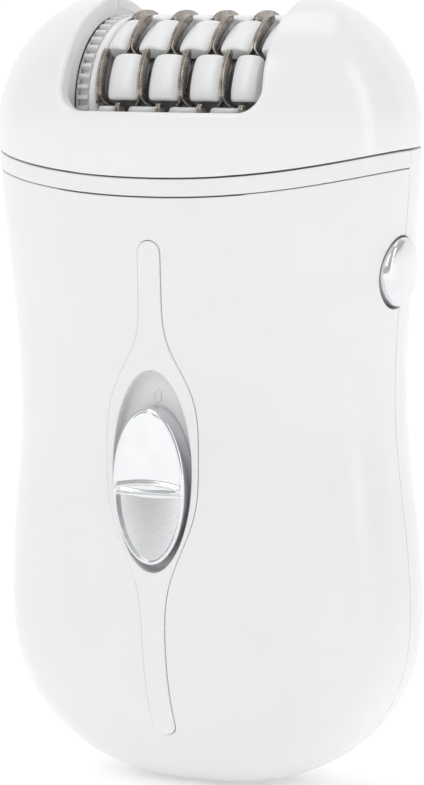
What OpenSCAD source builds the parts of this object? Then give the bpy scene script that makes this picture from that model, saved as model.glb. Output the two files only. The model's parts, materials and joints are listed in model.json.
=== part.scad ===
// Hand-held epilator: a rounded handle, a lift-off head and a rotor of spring-steel tweezers.
// Front faces -Y, right is +X, up is +Z. The origin is the centre of the small flat foot.

/* [Body] */
// Half width of the body at the belly
belly_half_w = 31.3; // [31:0.1:31.8]
// Half width at the waist
waist_half_w = 29.2; // [29:0.1:29.8]
// Half width at the shoulder, under the head
shoulder_half_w = 32.1; // [31.8:0.1:32.6]
// Half depth at the belly
belly_half_d = 19.2; // [19:0.1:19.8]
// Half depth at the waist
waist_half_d = 18.35; // [18.25:0.05:18.6]
// Half depth at the shoulder
shoulder_half_d = 18.7; // [18.6:0.05:19]
// Exponent of the cross-section, where 2 is an ellipse
corner_n = 2.6; // [2.5:0.05:2.8]
// Wall of the shells
wall = 1.8; // [1.7:0.05:1.9]

/* [Head] */
// Height of the crown above the shoulder
crown_rise = 18.2; // [18:0.1:18.6]
// Half width of the trough between the cheeks
trough_half_w = 14.8; // [14.8:0.05:15]
// Height of the lip below the trough
lip_z = 99.6; // [99:0.1:100]

/* [Rotor] */
// Height of the rotor shaft
rotor_z = 99.5; // [99.5:0.1:99.5]
// Radius over the blade tips
tip_r = 13.8; // [13.7:0.05:13.8]
// Radius over the pillows
pillow_r = 13; // [12.8:0.05:13.1]
// Distance between neighbouring tweezer stations
station_pitch = 3.34; // [3.34:0.01:3.34]
// Width of one pillow
pillow_w = 5.2; // [5:0.05:5.2]
// Thickness of one blade
blade_t = 0.4; // [0.35:0.01:0.4]

/* [Controls] */
// Height of the thumb slider
slider_h = 22.7; // [22.5:0.05:22.8]
// Width of the thumb slider
slider_w = 11.6; // [11.4:0.05:11.6]
// Travel of the thumb slider
slider_travel = 4.5; // [4:0.1:4.5]
// Diameter of the release button
button_d = 10; // [9.6:0.1:10]

/* [Hidden] */

white = "white";
ivory = "whitesmoke";
steel = "gray";
bright = "silver";
copper = "peru";

// Heights where the outline changes from one curve to the next.
belly_z = 27;
waist_z = 57;
shoulder_z = 97;
bowl_drop = 27.5;
bowl_n = 2.3;
ridge_half_w = 18;
crown_w_n = 1.75;
crown_d_n = 2.1;
waist_depth_z = 62;
tiny = 0.01;
reach = 80;

// Seams
parting_y = 1.2;
seam_front_z = 90.2;
seam_side_z = 93.5;
seam_n = 2.1;
collar_h = 2.6;
seam_gap = 0.12;

// Levels of the lofts, finer where the outline turns quickly.
body_levels = [0, 0.7, 2, 4, 7, 11, 16, 22, 30, 40, 50, 60, 70, 80, 90, 97];
cavity_levels = [wall, 3, 5, 9, 15, 23, 35, 48, 61, 74, 86, 98];
collar_levels = [85, 87, 89, 91, 93, 95, 97];
head_levels = [88, 92, 97, 100, 103, 106, 108.5, 110.5, 112.2, 113.5, 114.4, 115];
head_cavity_levels = [86, 92, 97, 101, 104.5, 107.5, 110, 112, 113.2];
outer_points = 56;
inner_points = 32;

// Rotor stack
first_station_x = -10.6;
stations = 8;
rows = 10;
row_step = 360 / rows;
arm_step = 2 * row_step;
vertex_odd = 8;
vertex_even = vertex_odd + row_step;
blade_span = 32;
pillow_span = 32;
pillow_lead = -2;
pillow_droop = 1.3;
hub_r = 10.4;
shaft_r = 2;
rod_r = 0.75;
rod_hole_r = 0.8;
rod_circle_r = 8.6;
rod_lag = 6;
rod_left_x = -15;
rod_right_x = 14.6;
fixed_blade_x = -0.66;
moving_blade_x = -0.2;
pocket_left = -0.66;
pocket_right = 0.9;
collar_left_x = -12.8;
collar_right_x = -11.5;
stack_right_x = 14.45;

// Gear train, module in mm and teeth
gear_m = 0.5;
rotor_teeth = 50;
output_teeth = 24;
small_teeth = 12;
big_teeth = 30;
pinion_teeth = 10;
output_z = rotor_z - gear_m * (rotor_teeth + output_teeth) / 2;
compound_z = output_z - gear_m * (output_teeth + small_teeth) / 2;
motor_z = compound_z - gear_m * (big_teeth + pinion_teeth) / 2;
fine_gear_x = -14.7;
fine_gear_w = 1.9;
coarse_gear_x = -20;
coarse_gear_w = 2.4;
axle_r = 0.9;
fit_gap = 0.04;

// Motor
motor_r = 10.5;
motor_x = -11;
motor_len = 26;
motor_wall = 1;
motor_shaft_r = 1;

// Oval dish and thumb slider
dish_z = 48.1;
dish_half_h = 14.6;
dish_half_w = 6.4;
dish_floor_y = -16.7;
dish_wall = 1;
slider_z = 46.05;
slider_face_y = -20;
slider_gap = 0.25;
inlay_t = 1;

// Release button
button_z = 76;
button_tilt = 5;
button_face_x = 31.9;
latch_z = 77.7;
latch_h = 3;

function ease(a, b, t) = a + (b - a) * (1 - cos(180 * t)) / 2;
function dome(t, n) = pow(max(0, 1 - pow(t, n)), 1 / n);
function half_w(z) =
    z < belly_z ? belly_half_w * dome((belly_z - z) / bowl_drop, bowl_n)
    : z < waist_z ? ease(belly_half_w, waist_half_w, (z - belly_z) / (waist_z - belly_z))
    : z < shoulder_z ? ease(waist_half_w, shoulder_half_w, (z - waist_z) / (shoulder_z - waist_z))
    : ridge_half_w + (shoulder_half_w - ridge_half_w) * dome((z - shoulder_z) / crown_rise, crown_w_n);
function half_d(z) =
    z < belly_z ? belly_half_d * dome((belly_z - z) / bowl_drop, bowl_n)
    : z < waist_depth_z ? ease(belly_half_d, waist_half_d, (z - belly_z) / (waist_depth_z - belly_z))
    : z < shoulder_z ? ease(waist_half_d, shoulder_half_d, (z - waist_depth_z) / (shoulder_z - waist_depth_z))
    : shoulder_half_d * dome((z - shoulder_z) / crown_rise, crown_d_n);
function bow(v, n) = sign(v) * pow(abs(v), 2 / n);
function section(a, b, count) =
    [for (i = [0:count - 1]) [a * bow(cos(360 * i / count), corner_n), b * bow(sin(360 * i / count), corner_n)]];
function seam_z(x) = seam_front_z + (seam_side_z - seam_front_z) * pow(min(1, abs(x) / 32), seam_n);

// A point at radius r and at an angle counted upwards from the front, in the plane across the rotor.
function around(r, angle) = [-r * sin(angle), -r * cos(angle)];
function station_x(s) = first_station_x + s * station_pitch;

// Skin over the cross-sections at the given heights, closed flat at both ends.
module loft(zs, inset, count) {
    rings = len(zs);
    points = [
        for (z = zs)
            for (p = section(half_w(z) - inset, half_d(z) - inset, count))
                [p[0], p[1], z]
    ];
    sides = [
        for (k = [0:rings - 2])
            for (i = [0:count - 1])
                let (j = (i + 1) % count)
                    each [
                        [k * count + i, (k + 1) * count + i, (k + 1) * count + j],
                        [k * count + i, (k + 1) * count + j, k * count + j]
                    ]
    ];
    bottom = [for (i = [0:count - 1]) i];
    top = [for (i = [count - 1:-1:0]) (rings - 1) * count + i];
    polyhedron(points, concat(sides, [bottom, top]));
}

module body_form() {
    loft(body_levels, 0, outer_points);
}

module body_skin() {
    difference() {
        body_form();
        loft(cavity_levels, wall, inner_points);
    }
}

// Everything in front of the parting plane, from one height curve to another.
module front_band(low, high) {
    steps = 16;
    span = 36;
    xs = [for (i = [0:steps]) -span + 2 * span * i / steps];
    top = [for (x = xs) [x, seam_z(x) + high]];
    bottom = [for (i = [steps:-1:0]) [xs[i], low < 0 ? seam_z(xs[i]) + low : -1]];
    translate([0, parting_y - seam_gap / 2, 0])
        rotate([90, 0, 0])
            linear_extrude(height = reach / 2)
                polygon(concat(top, bottom));
}

module rear_zone(low, high) {
    translate([-reach / 2, parting_y + seam_gap / 2, low])
        cube([reach, reach, high - low]);
}

// Runs its children along +X from x, with their own centre on the axis at height z.
module along_x(x, z) {
    translate([x, 0, z])
        rotate([0, 90, 0])
            children();
}

module rod_x(x, z, r, length) {
    along_x(x, z)
        cylinder(h = length, r = r, $fn = 32);
}

module block(low, high) {
    translate(low)
        cube(high - low);
}

module oval(half_w, half_h) {
    scale([half_w / half_h, 1])
        circle(r = half_h, $fn = 64);
}

// Extrudes a front-view outline from y_back towards the front.
module facing(y_back, depth) {
    translate([0, y_back, 0])
        rotate([90, 0, 0])
            linear_extrude(height = depth)
                children();
}

// Half width of the spear-shaped inlay: round ends, slim stems and a bulge round the dish.
inlay_top_z = 81.3;
inlay_low_z = 9.1;
stem_half_w = 1.7;
bulge_half_w = 7.5;
bulge_z = 49.5;
bulge_up = 19;
bulge_down = 20.5;
bulge_n = 1.1;
function bulge(t) = pow(cos(90 * min(1, t)), bulge_n);
function inlay_half_w(z) =
    let (reach_z = z > bulge_z ? bulge_up : bulge_down)
    stem_half_w + (bulge_half_w - stem_half_w) * bulge(abs(z - bulge_z) / reach_z);

module inlay_outline(grow) {
    steps = 36;
    low = inlay_low_z + stem_half_w;
    high = inlay_top_z - stem_half_w;
    zs = [for (i = [0:steps]) low + (high - low) * i / steps];
    right = [for (z = zs) [inlay_half_w(z) + grow, z]];
    left = [for (i = [steps:-1:0]) [-inlay_half_w(zs[i]) - grow, zs[i]]];
    polygon(concat(right, left));
    for (z = [low, high])
        translate([0, z])
            circle(r = stem_half_w + grow, $fn = 24);
}

module dish_outline(grow) {
    translate([0, dish_z])
        oval(dish_half_w + grow, dish_half_h + grow);
}

module button_bore(r) {
    translate([button_face_x, 0, button_z])
        rotate([0, 90 + button_tilt, 0])
            translate([0, 0, -8])
                cylinder(h = 12, r = r, $fn = 48);
}

inlet_r = 4;
inlet_gap = 0.1;

module front_shell() {
    color(white)
        difference() {
            intersection() {
                body_skin();
                front_band(0, -collar_h - seam_gap);
            }
            difference() {
                facing(-10, 12) inlay_outline(0.08);
                loft(body_levels, inlay_t, inner_points);
            }
            facing(-10, 12) dish_outline(dish_wall + 0.1);
            button_bore(button_d / 2 + 0.3);
            translate([0, 0, -1]) cylinder(h = 8, r = inlet_r + inlet_gap, $fn = 32);
        }
}

module rear_shell() {
    boss_r = 2.6;
    color(white)
        difference() {
            union() {
                intersection() {
                    body_skin();
                    rear_zone(-1, seam_side_z - seam_gap);
                }
                for (x = [-15, 15], z = [46, 69])
                    translate([x, 16.4, z])
                        rotate([90, 0, 0])
                            cylinder(h = 3.8, r = boss_r, $fn = 24);
            }
            for (x = [-15, 15], z = [46, 69])
                translate([x, 16, z])
                    rotate([90, 0, 0])
                        cylinder(h = 10, r = 0.85, $fn = 16);
            button_bore(button_d / 2 + 0.3);
            translate([0, 0, -1]) cylinder(h = 8, r = inlet_r + inlet_gap, $fn = 32);
        }
}

module collar_trim() {
    color(white)
        intersection() {
            difference() {
                loft(collar_levels, 0, outer_points);
                loft([82, 91, 98], wall, inner_points);
            }
            front_band(-collar_h, -seam_gap);
        }
}

module front_inlay() {
    stem_slot = 3.4;
    color(ivory)
        difference() {
            union() {
                intersection() {
                    difference() {
                        body_form();
                        loft(body_levels, inlay_t, inner_points);
                    }
                    facing(-10, 12) inlay_outline(0);
                }
                intersection() {
                    body_form();
                    facing(dish_floor_y + dish_wall, 6) dish_outline(dish_wall);
                }
            }
            facing(dish_floor_y, 8) dish_outline(0);
            translate([-stem_slot / 2, -20, slider_z - 4]) cube([stem_slot, 8, 8 + slider_travel]);
        }
    zero_mark();
}

// Raised nought above the slider, at its off position.
module zero_mark() {
    color(ivory)
        facing(dish_floor_y, 0.15)
            translate([0, 58.9])
                difference() {
                    oval(0.7, 1.05);
                    oval(0.42, 0.75);
                }
}

// Round low-voltage inlet in the foot, with a plain bore and no centre pin.
inlet_bore_r = 2;
inlet_depth = 9;
module power_inlet() {
    color("dimgray")
        difference() {
            union() {
                cylinder(h = 3.2, r = inlet_r, $fn = 32);
                translate([0, 0, 3.2 - tiny]) cylinder(h = 9, r = 3.4, $fn = 32);
            }
            translate([0, 0, -1]) cylinder(h = 1 + inlet_depth, r = inlet_bore_r, $fn = 32);
            block([-0.8, inlet_bore_r + 0.4, 3.6], [0.8, 4, 13]);
        }
}

module inlet_contacts() {
    color(copper) {
        block([-0.7, inlet_bore_r + 0.5, 4], [0.7, inlet_bore_r + 0.8, 16]);
        translate([0, 0, 12.2]) cylinder(h = 0.4, r = 1.6, $fn = 24);
        translate([0, 0, 12.6]) cylinder(h = 3, r = 0.5, $fn = 24);
    }
}

// Gear box, motor seat, latch shelf and back plate in one moulding.
plate_y = 11;
module chassis() {
    outer_x = -23;
    color("gainsboro")
        difference() {
            union() {
                block([outer_x, -9.9, 55], [outer_x + 1.6, plate_y - 1.2, 82.2]);
                block([-12.1, -9.9, 50], [motor_x, plate_y, 79]);
                block([outer_x, -9.9, 54], [motor_x, plate_y, 55.4]);
                block([-20, plate_y, 42], [20, plate_y + 1.5, 74]);
                block([outer_x + 1, plate_y - 2.2, 55], [-19, plate_y + tiny, 74]);
                block([motor_x, -9, 74.4], [24, plate_y + 1.5, 75.8]);
                block([11, -3, 75.8 - tiny], [13.5, 3, 81.6]);
                block([motor_x, -9, 73], [motor_x + 1, -7, 74.4]);
            }
            rod_x(-14, motor_z, 3.1, 4);
            rod_x(outer_x - 1, compound_z, axle_r, 13);
            rod_x(outer_x - 1, output_z, axle_r, 13);
            rod_x(10, latch_z + latch_h / 2, 1.9, 5);
            for (y = [-post_y, post_y])
                translate([-post_x, y, base_low_z - 1.6]) cylinder(h = 3, r = 2.1, $fn = 32);
            for (side = [-1, 1])
                translate([-14, side * 7, motor_z])
                    rotate([0, 90, 0])
                        cylinder(h = 4, r = 0.8, $fn = 24);
            for (x = [-15, 15], z = [46, 69])
                translate([x, plate_y + 2, z])
                    rotate([90, 0, 0])
                        cylinder(h = 3, r = 0.9, $fn = 24);
        }
}

module screw(head_r, head_h, r, length) {
    difference() {
        cylinder(h = head_h, r = head_r, $fn = 32);
        block([-head_r * 0.7, -0.2, -tiny], [head_r * 0.7, 0.2, head_h * 0.5]);
        block([-0.2, -head_r * 0.7, -tiny], [0.2, head_r * 0.7, head_h * 0.5]);
    }
    translate([0, 0, head_h])
        cylinder(h = length, r = r, $fn = 32);
}

module chassis_screws() {
    color(bright)
        for (x = [-15, 15], z = [46, 69])
            translate([x, plate_y - 1.2, z])
                rotate([-90, 0, 0])
                    screw(1.9, 1.2, 0.84, 5);
}

module motor_screws() {
    color(bright)
        for (side = [-1, 1])
            translate([-13.1, side * 7, motor_z])
                rotate([0, 90, 0])
                    screw(1.4, 1, 0.75, 1.6);
}

module motor_can() {
    color(bright)
        along_x(motor_x, motor_z)
            difference() {
                union() {
                    cylinder(h = motor_len, r = motor_r, $fn = 64);
                    translate([0, 0, -1]) cylinder(h = 1, r = 3, $fn = 32);
                }
                translate([0, 0, motor_wall]) cylinder(h = motor_len, r = motor_r - motor_wall, $fn = 64);
                translate([0, 0, -2]) cylinder(h = 4, r = motor_shaft_r + 0.05, $fn = 32);
                for (side = [-1, 1])
                    translate([0, side * 7, -1]) cylinder(h = 3, r = 0.75, $fn = 24);
            }
}

module motor_magnets() {
    color("dimgray")
        for (turn = [0, 180])
            along_x(motor_x + 3, motor_z)
                rotate([0, 0, turn + 200])
                    rotate_extrude(angle = 140, $fn = 64)
                        translate([7.4, 0])
                            square([motor_r - motor_wall - 7.4, 18]);
}

module motor_end_cap() {
    color("ivory")
        difference() {
            along_x(motor_x + motor_len, motor_z)
                difference() {
                    union() {
                        translate([0, 0, -3]) cylinder(h = 3, r = motor_r - motor_wall, $fn = 64);
                        cylinder(h = 1.2, r = motor_r, $fn = 64);
                        translate([0, 0, 1.2]) cylinder(h = 1.8, r = 3, $fn = 32);
                    }
                    translate([0, 0, -4]) cylinder(h = 8, r = motor_shaft_r + 0.05, $fn = 32);
                }
            for (side = [-1, 1])
                block([motor_x + motor_len - 4, side * 7 - 1, motor_z - 0.25],
                      [motor_x + motor_len + 2, side * 7 + 1, motor_z + 0.25]);
        }
}

module compound_axle() {
    color(bright)
        rod_x(-22.9, compound_z, axle_r, 11.8);
}

module output_axle() {
    color(bright)
        rod_x(-22.9, output_z, axle_r, 7.2);
}

// Outline of a spur gear with its first tooth turned by the given angle.
function tooth(rp, pitch, at) = [
    [rp - 1.25 * gear_m, at - 0.31 * pitch],
    [rp - 0.4 * gear_m, at - 0.265 * pitch],
    [rp, at - 0.225 * pitch],
    [rp + 0.5 * gear_m, at - 0.16 * pitch],
    [rp + 0.85 * gear_m, at - 0.1 * pitch],
    [rp + 0.85 * gear_m, at + 0.1 * pitch],
    [rp + 0.5 * gear_m, at + 0.16 * pitch],
    [rp, at + 0.225 * pitch],
    [rp - 0.4 * gear_m, at + 0.265 * pitch],
    [rp - 1.25 * gear_m, at + 0.31 * pitch]
];
module gear_outline(teeth, first) {
    pitch = 360 / teeth;
    polygon([
        for (i = [0:teeth - 1])
            for (p = tooth(gear_m * teeth / 2, pitch, first + i * pitch))
                [p[0] * cos(p[1]), p[0] * sin(p[1])]
    ]);
}

module gear(teeth, first, width) {
    linear_extrude(height = width)
        gear_outline(teeth, first);
}

module output_gear() {
    color(ivory)
        along_x(fine_gear_x - 0.1, output_z)
            difference() {
                union() {
                    gear(output_teeth, 180 / output_teeth, fine_gear_w - 0.1);
                    translate([0, 0, -2.5]) cylinder(h = 2.5 + tiny, r = 1.4, $fn = 32);
                }
                translate([0, 0, -5]) cylinder(h = 10, r = axle_r + fit_gap, $fn = 32);
            }
}

module compound_gear() {
    color("tan")
        difference() {
            union() {
                along_x(coarse_gear_x, compound_z) gear(big_teeth, 180 / big_teeth, coarse_gear_w);
                along_x(coarse_gear_x + coarse_gear_w - tiny, compound_z)
                    cylinder(h = fine_gear_x - coarse_gear_x - coarse_gear_w + 0.1, r = 2.3, $fn = 32);
                along_x(fine_gear_x, compound_z) gear(small_teeth, 0, fine_gear_w + 0.5);
            }
            rod_x(coarse_gear_x - 1, compound_z, axle_r + fit_gap, 12);
        }
}

module pinion() {
    color("gold")
        along_x(coarse_gear_x - 0.2, motor_z)
            difference() {
                gear(pinion_teeth, 0, coarse_gear_w + 0.4);
                translate([0, 0, -1]) cylinder(h = 6, r = motor_shaft_r, $fn = 32);
            }
}

module motor_shaft() {
    color(bright)
        rod_x(-20.6, motor_z, motor_shaft_r, 38.2);
}

module armature() {
    poles = 3;
    color(copper)
        along_x(motor_x + 4, motor_z)
            difference() {
                union() {
                    cylinder(h = 14, r = 3.2, $fn = 32);
                    for (i = [0:poles - 1])
                        rotate([0, 0, i * 360 / poles])
                            intersection() {
                                cylinder(h = 14, r = 7, $fn = 64);
                                union() {
                                    translate([0, -1.2, 0]) cube([8, 2.4, 14]);
                                    translate([5.6, -4.6, 0]) cube([3, 9.2, 14]);
                                }
                            }
                    translate([0, 0, 14 - tiny]) cylinder(h = 3.4, r = 2.4, $fn = 32);
                }
                translate([0, 0, -1]) cylinder(h = 20, r = motor_shaft_r, $fn = 32);
            }
}

board_y = -10.6;
module circuit_board() {
    color("darkgreen")
        difference() {
            block([-11, board_y, 22], [11, board_y + 1.2, 50]);
            for (x = [-9, 9], z = [24, 48])
                translate([x, board_y + 2, z])
                    rotate([90, 0, 0])
                        cylinder(h = 3, r = 1, $fn = 24);
        }
}

module switch_body() {
    color(steel)
        difference() {
            block([-4, board_y - 3, slider_z - 7], [4, board_y, slider_z + 7]);
            block([-1.2, board_y - 4, slider_z - 2], [1.2, board_y - 1, slider_z + 2 + slider_travel]);
        }
}

module capacitor() {
    color("midnightblue")
        for (x = [-5, 5])
            translate([x, board_y, 29])
                rotate([90, 0, 0])
                    cylinder(h = 3.6, r = 2.2, $fn = 32);
}

module wire(points, r) {
    for (i = [0:len(points) - 2]) {
        step = points[i + 1] - points[i];
        length = norm(step);
        translate(points[i])
            rotate([0, acos(step[2] / length), atan2(step[1], step[0])])
                cylinder(h = length, r = r, $fn = 8);
        if (i > 0)
            translate(points[i])
                sphere(r = r * 1.2, $fn = 16);
    }
}

module lead_wires() {
    wire_r = 0.6;
    color("firebrick")
        for (side = [-1, 1]) {
            wire([[side * 0.9, 0, 17.2], [side * 4, 0, 20], [side * 6, -6, 24], [side * 6, board_y + 2, 26]], wire_r);
            wire([[side * 8, board_y + 2, 40], [side * 12, -6, 46], [19.4, side * 7, 52], [19.4, side * 7, 60]], wire_r);
        }
}

// Chromed thumb slider: an oval button with a finger ledge and a hollow below it.
module thumb_slider() {
    ledge_z = 45.5;
    color(bright)
        difference() {
            union() {
                facing(dish_floor_y - slider_gap, dish_floor_y - slider_gap - slider_face_y)
                    translate([0, slider_z]) oval(slider_w / 2, slider_h / 2);
                translate([-slider_w / 2 + 0.6, 0, ledge_z])
                    translate([0, slider_face_y + 0.3, 0])
                        rotate([0, 90, 0])
                            cylinder(h = slider_w - 1.2, r = 1, $fn = 32);
            }
            translate([0, slider_face_y - 13.4, ledge_z - 6])
                rotate([0, 90, 0])
                    translate([0, 0, -6])
                        cylinder(h = 12, r = 14, $fn = 96);
        }
}

// Stem that carries the slider's motion to the switch body.
module slider_carrier() {
    color(ivory) {
        block([-1.5, dish_floor_y - slider_gap, slider_z - 3.6], [1.5, dish_floor_y + 2, slider_z + 3.6]);
        block([-4, dish_floor_y + 1.3, slider_z - 5], [4, dish_floor_y + 2.3, slider_z + 5]);
        block([-0.9, dish_floor_y + 2.2, slider_z - 1.6], [0.9, board_y - 1.3, slider_z + 1.6]);
    }
}

module release_button() {
    r = button_d / 2;
    color(bright)
        translate([button_face_x, 0, button_z])
            rotate([0, 90 + button_tilt, 0])
                rotate_extrude($fn = 64)
                    polygon([
                        [0, 0], [r * 0.55, -0.12], [r * 0.8, -0.35], [r * 0.93, -0.8], [r, -1.5],
                        [r, -3.4], [r - 1, -3.4], [r - 1, -2], [2, -2], [2, -4.6], [0, -4.6]
                    ]);
}

latch_inner_x = 18;
latch_outer_x = 27.2;
module latch_slider() {
    arm_y = 4.4;
    arm_t = 1.8;
    color(ivory) {
        for (side = [-1, 1])
            block([latch_inner_x, min(side * arm_y, side * (arm_y + arm_t)), latch_z],
                  [latch_outer_x, max(side * arm_y, side * (arm_y + arm_t)), latch_z + latch_h]);
        block([latch_inner_x, -arm_y - tiny, latch_z], [latch_inner_x + 2, arm_y + tiny, latch_z + latch_h]);
        block([latch_inner_x + 2 - tiny, -2.4, latch_z + 1.6], [23.3, 2.4, latch_z + latch_h]);
        block([latch_outer_x - 1.2, -arm_y - tiny, latch_z - 3], [latch_outer_x, arm_y + tiny, latch_z + latch_h]);
    }
}

// Return spring of the button: a helix between the latch frame and a pocket in the chassis.
spring_x = 12.2;
module release_spring() {
    turns = 5;
    steps = 12;
    sides = 6;
    wire_r = 0.2;
    coil_r = 1.5;
    length = latch_inner_x - spring_x - 2 * wire_r - 0.1;
    rings = turns * steps;
    points = [
        for (k = [0:rings])
            for (i = [0:sides - 1])
                let (a = 360 * k / steps, b = 360 * i / sides, r = coil_r + wire_r * cos(b))
                    [r * cos(a), r * sin(a), wire_r + length * k / rings + wire_r * sin(b)]
    ];
    skin = [
        for (k = [0:rings - 1])
            for (i = [0:sides - 1])
                let (j = (i + 1) % sides)
                    each [
                        [k * sides + i, (k + 1) * sides + i, (k + 1) * sides + j],
                        [k * sides + i, (k + 1) * sides + j, k * sides + j]
                    ]
    ];
    start = [for (i = [0:sides - 1]) i];
    end = [for (i = [sides - 1:-1:0]) rings * sides + i];
    color(steel)
        along_x(spring_x, latch_z + latch_h / 2)
            polyhedron(points, concat(skin, [start, end]));
}

// Head housing: the dome with its cheeks, and the trough that the rotor shows through.
cheek_t = 1.5;
module trough_outline() {
    corner_r = 3.4;
    hull() {
        for (side = [-1, 1]) {
            translate([side * (trough_half_w - corner_r), lip_z + corner_r]) circle(r = corner_r, $fn = 32);
            translate([side * (trough_half_w - 1), lip_z + 30]) circle(r = 1, $fn = 16);
        }
    }
}

module head_housing() {
    color(white)
        intersection() {
            loft(head_levels, 0, outer_points);
            above_seam();
            difference() {
                union() {
                    difference() {
                        loft(head_levels, 0, outer_points);
                        loft(head_cavity_levels, wall, inner_points);
                    }
                    for (side = [-1, 1]) {
                        translate([side * (trough_half_w + 0.1 + cheek_t / 2) - cheek_t / 2, -30, 97])
                            cube([cheek_t, 60, 30]);
                        for (y = [-post_y, post_y])
                            translate([side * post_x, y, 97.2])
                                cylinder(h = 20, r = 2.2, $fn = 20);
                    }
                }
                facing(40, 80) trough_outline();
                rod_x(-20, rotor_z, 12.6, 40);
                for (side = [-1, 1], y = [-post_y, post_y])
                    translate([side * post_x, y, 90])
                        cylinder(h = 12, r = 0.8, $fn = 16);
            }
        }
}

// Everything above the seam, which dips in front of the parting plane only.
module above_seam() {
    difference() {
        translate([-reach / 2, -reach / 2, 80]) cube([reach, reach, 50]);
        front_band(0, seam_gap);
        rear_zone(70, seam_side_z + seam_gap);
        translate([-reach / 2, parting_y - 1, 70]) cube([reach, 2, seam_side_z + seam_gap - 70]);
    }
}

// Tub that plugs into the handle: floor, wall and the latch tongue.
base_inset = 2.2;
base_low_z = 82.6;
post_x = 24.3;
post_y = 8.3;
module head_base() {
    floor_t = 1.5;
    color("gainsboro") {
        difference() {
            loft([base_low_z, 86, 90, 96.8], base_inset, 40);
            difference() {
                loft([base_low_z - 1, 84, 86, 90, 98], base_inset + 1.4, 32);
                translate([-40, -40, base_low_z - 1]) cube([80, 80, 1 + floor_t]);
            }
            block([-15.6, -6.6, 80], [-11.9, 6.6, 90]);
            for (side = [-1, 1], y = [-post_y, post_y])
                translate([side * post_x, y, 80])
                    cylinder(h = 8, r = 0.95, $fn = 24);
        }
        for (side = [-1, 1], y = [-post_y, post_y])
            translate([side * post_x, y, base_low_z + floor_t - tiny])
                difference() {
                    cylinder(h = 97 - base_low_z - floor_t, r = 2.2, $fn = 32);
                    translate([0, 0, -1]) cylinder(h = 20, r = 0.95, $fn = 24);
                }
        difference() {
            block([21.9, -3.9, 77.9], [23.4, 3.9, base_low_z + tiny]);
            block([21, -3, 79], [24, 3, 81.4]);
        }
    }
}

// Upright that holds the shaft bush and the fork of the pressure roller.
bearing_x = 20.9;
plate_half_w = 5.6;
roller_at = 75;
roller_mid_r = 8.6;
roller_w = 3;
ear_t = 1;
ear_w = 3.2;
fork_inner_r = 5.9;
fork_outer_r = 10.3;
module bearing_plate(side) {
    plate_t = 2;
    x = side > 0 ? bearing_x : -bearing_x - plate_t;
    difference() {
        union() {
            block([x, -plate_half_w, base_low_z + 1.5], [x + plate_t, plate_half_w, rotor_z]);
            rod_x(x, rotor_z, plate_half_w, plate_t);
            translate([x, 0, rotor_z])
                rotate([-roller_at, 0, 0])
                    translate([0, -fork_outer_r - ear_t, -ear_w / 2])
                        cube([plate_t, fork_outer_r, ear_w]);
            for (r = [fork_inner_r, fork_outer_r])
                fork_ear(side, r);
        }
        rod_x(x - 1, rotor_z, 3.5, plate_t + 2);
        roller_axis(side, 4) cylinder(h = 11, r = 0.7, $fn = 32);
    }
}

module fork_ear(side, r) {
    low_x = side > 0 ? 16.8 : -21;
    translate([low_x, 0, rotor_z])
        rotate([-roller_at, 0, 0])
            translate([0, -r - ear_t, -ear_w / 2])
                cube([4.2, ear_t, ear_w]);
}

// Puts its children on the radial axis of a pressure roller, starting at radius r.
roller_x_left = -17.85;
roller_x_right = 17.95;
module roller_axis(side, r) {
    x = side > 0 ? roller_x_right : roller_x_left;
    translate([x, 0, rotor_z])
        rotate([-roller_at, 0, 0])
            translate([0, -r, 0])
                rotate([90, 0, 0])
                    children();
}

module bearing_plate_left() {
    color("gainsboro") bearing_plate(-1);
}

module bearing_plate_right() {
    color("gainsboro") bearing_plate(1);
}

module shaft_bushes() {
    color("tan")
        for (x = [-22.9, 20.4])
            along_x(x, rotor_z)
                difference() {
                    cylinder(h = 2.5, r = 3.5, $fn = 48);
                    translate([0, 0, -1]) cylinder(h = 5, r = shaft_r + fit_gap, $fn = 48);
                }
}

module roller_pins() {
    color(bright)
        for (side = [-1, 1])
            roller_axis(side, fork_inner_r - 0.2)
                cylinder(h = fork_outer_r + ear_t - fork_inner_r + 0.4, r = 0.7, $fn = 32);
}

module pressure_roller(side) {
    color("dimgray")
        roller_axis(side, roller_mid_r - roller_w / 2)
            difference() {
                cylinder(h = roller_w, r = 2.5, $fn = 48);
                translate([0, 0, -1]) cylinder(h = 6, r = 0.7 + fit_gap, $fn = 32);
            }
}

module roller_left() {
    pressure_roller(-1);
}

module roller_right() {
    pressure_roller(1);
}

module head_screws() {
    color(bright)
        for (side = [-1, 1], y = [-post_y, post_y])
            translate([side * post_x, y, base_low_z - 1.1])
                screw(1.8, 1.1, 0.79, 18);
}

module rotor_shaft() {
    color(bright)
        rod_x(-22.8, rotor_z, shaft_r, 45.6);
}

module rod_holes(first) {
    for (k = [0:rows - 1])
        translate(around(rod_circle_r, first + k * row_step))
            translate([0, 0, -2])
                cylinder(h = 20, r = rod_hole_r, $fn = 24);
}

rod_angle = vertex_odd - rod_lag;

module rotor_gear() {
    color(ivory)
        along_x(fine_gear_x, rotor_z)
            difference() {
                gear(rotor_teeth, 0, fine_gear_w);
                translate([0, 0, -1]) cylinder(h = 5, r = shaft_r, $fn = 48);
                rod_holes(rod_angle);
            }
}

module end_collar() {
    width = collar_right_x - collar_left_x;
    color(white)
        along_x(collar_left_x, rotor_z)
            difference() {
                rotate_extrude($fn = 96)
                    polygon([
                        [shaft_r, 0], [12.7, 0], [12.8, 0.3], [12.65, 0.8], [12.2, 1.1], [11.2, width],
                        [shaft_r, width]
                    ]);
                rod_holes(rod_angle);
            }
}

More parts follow.
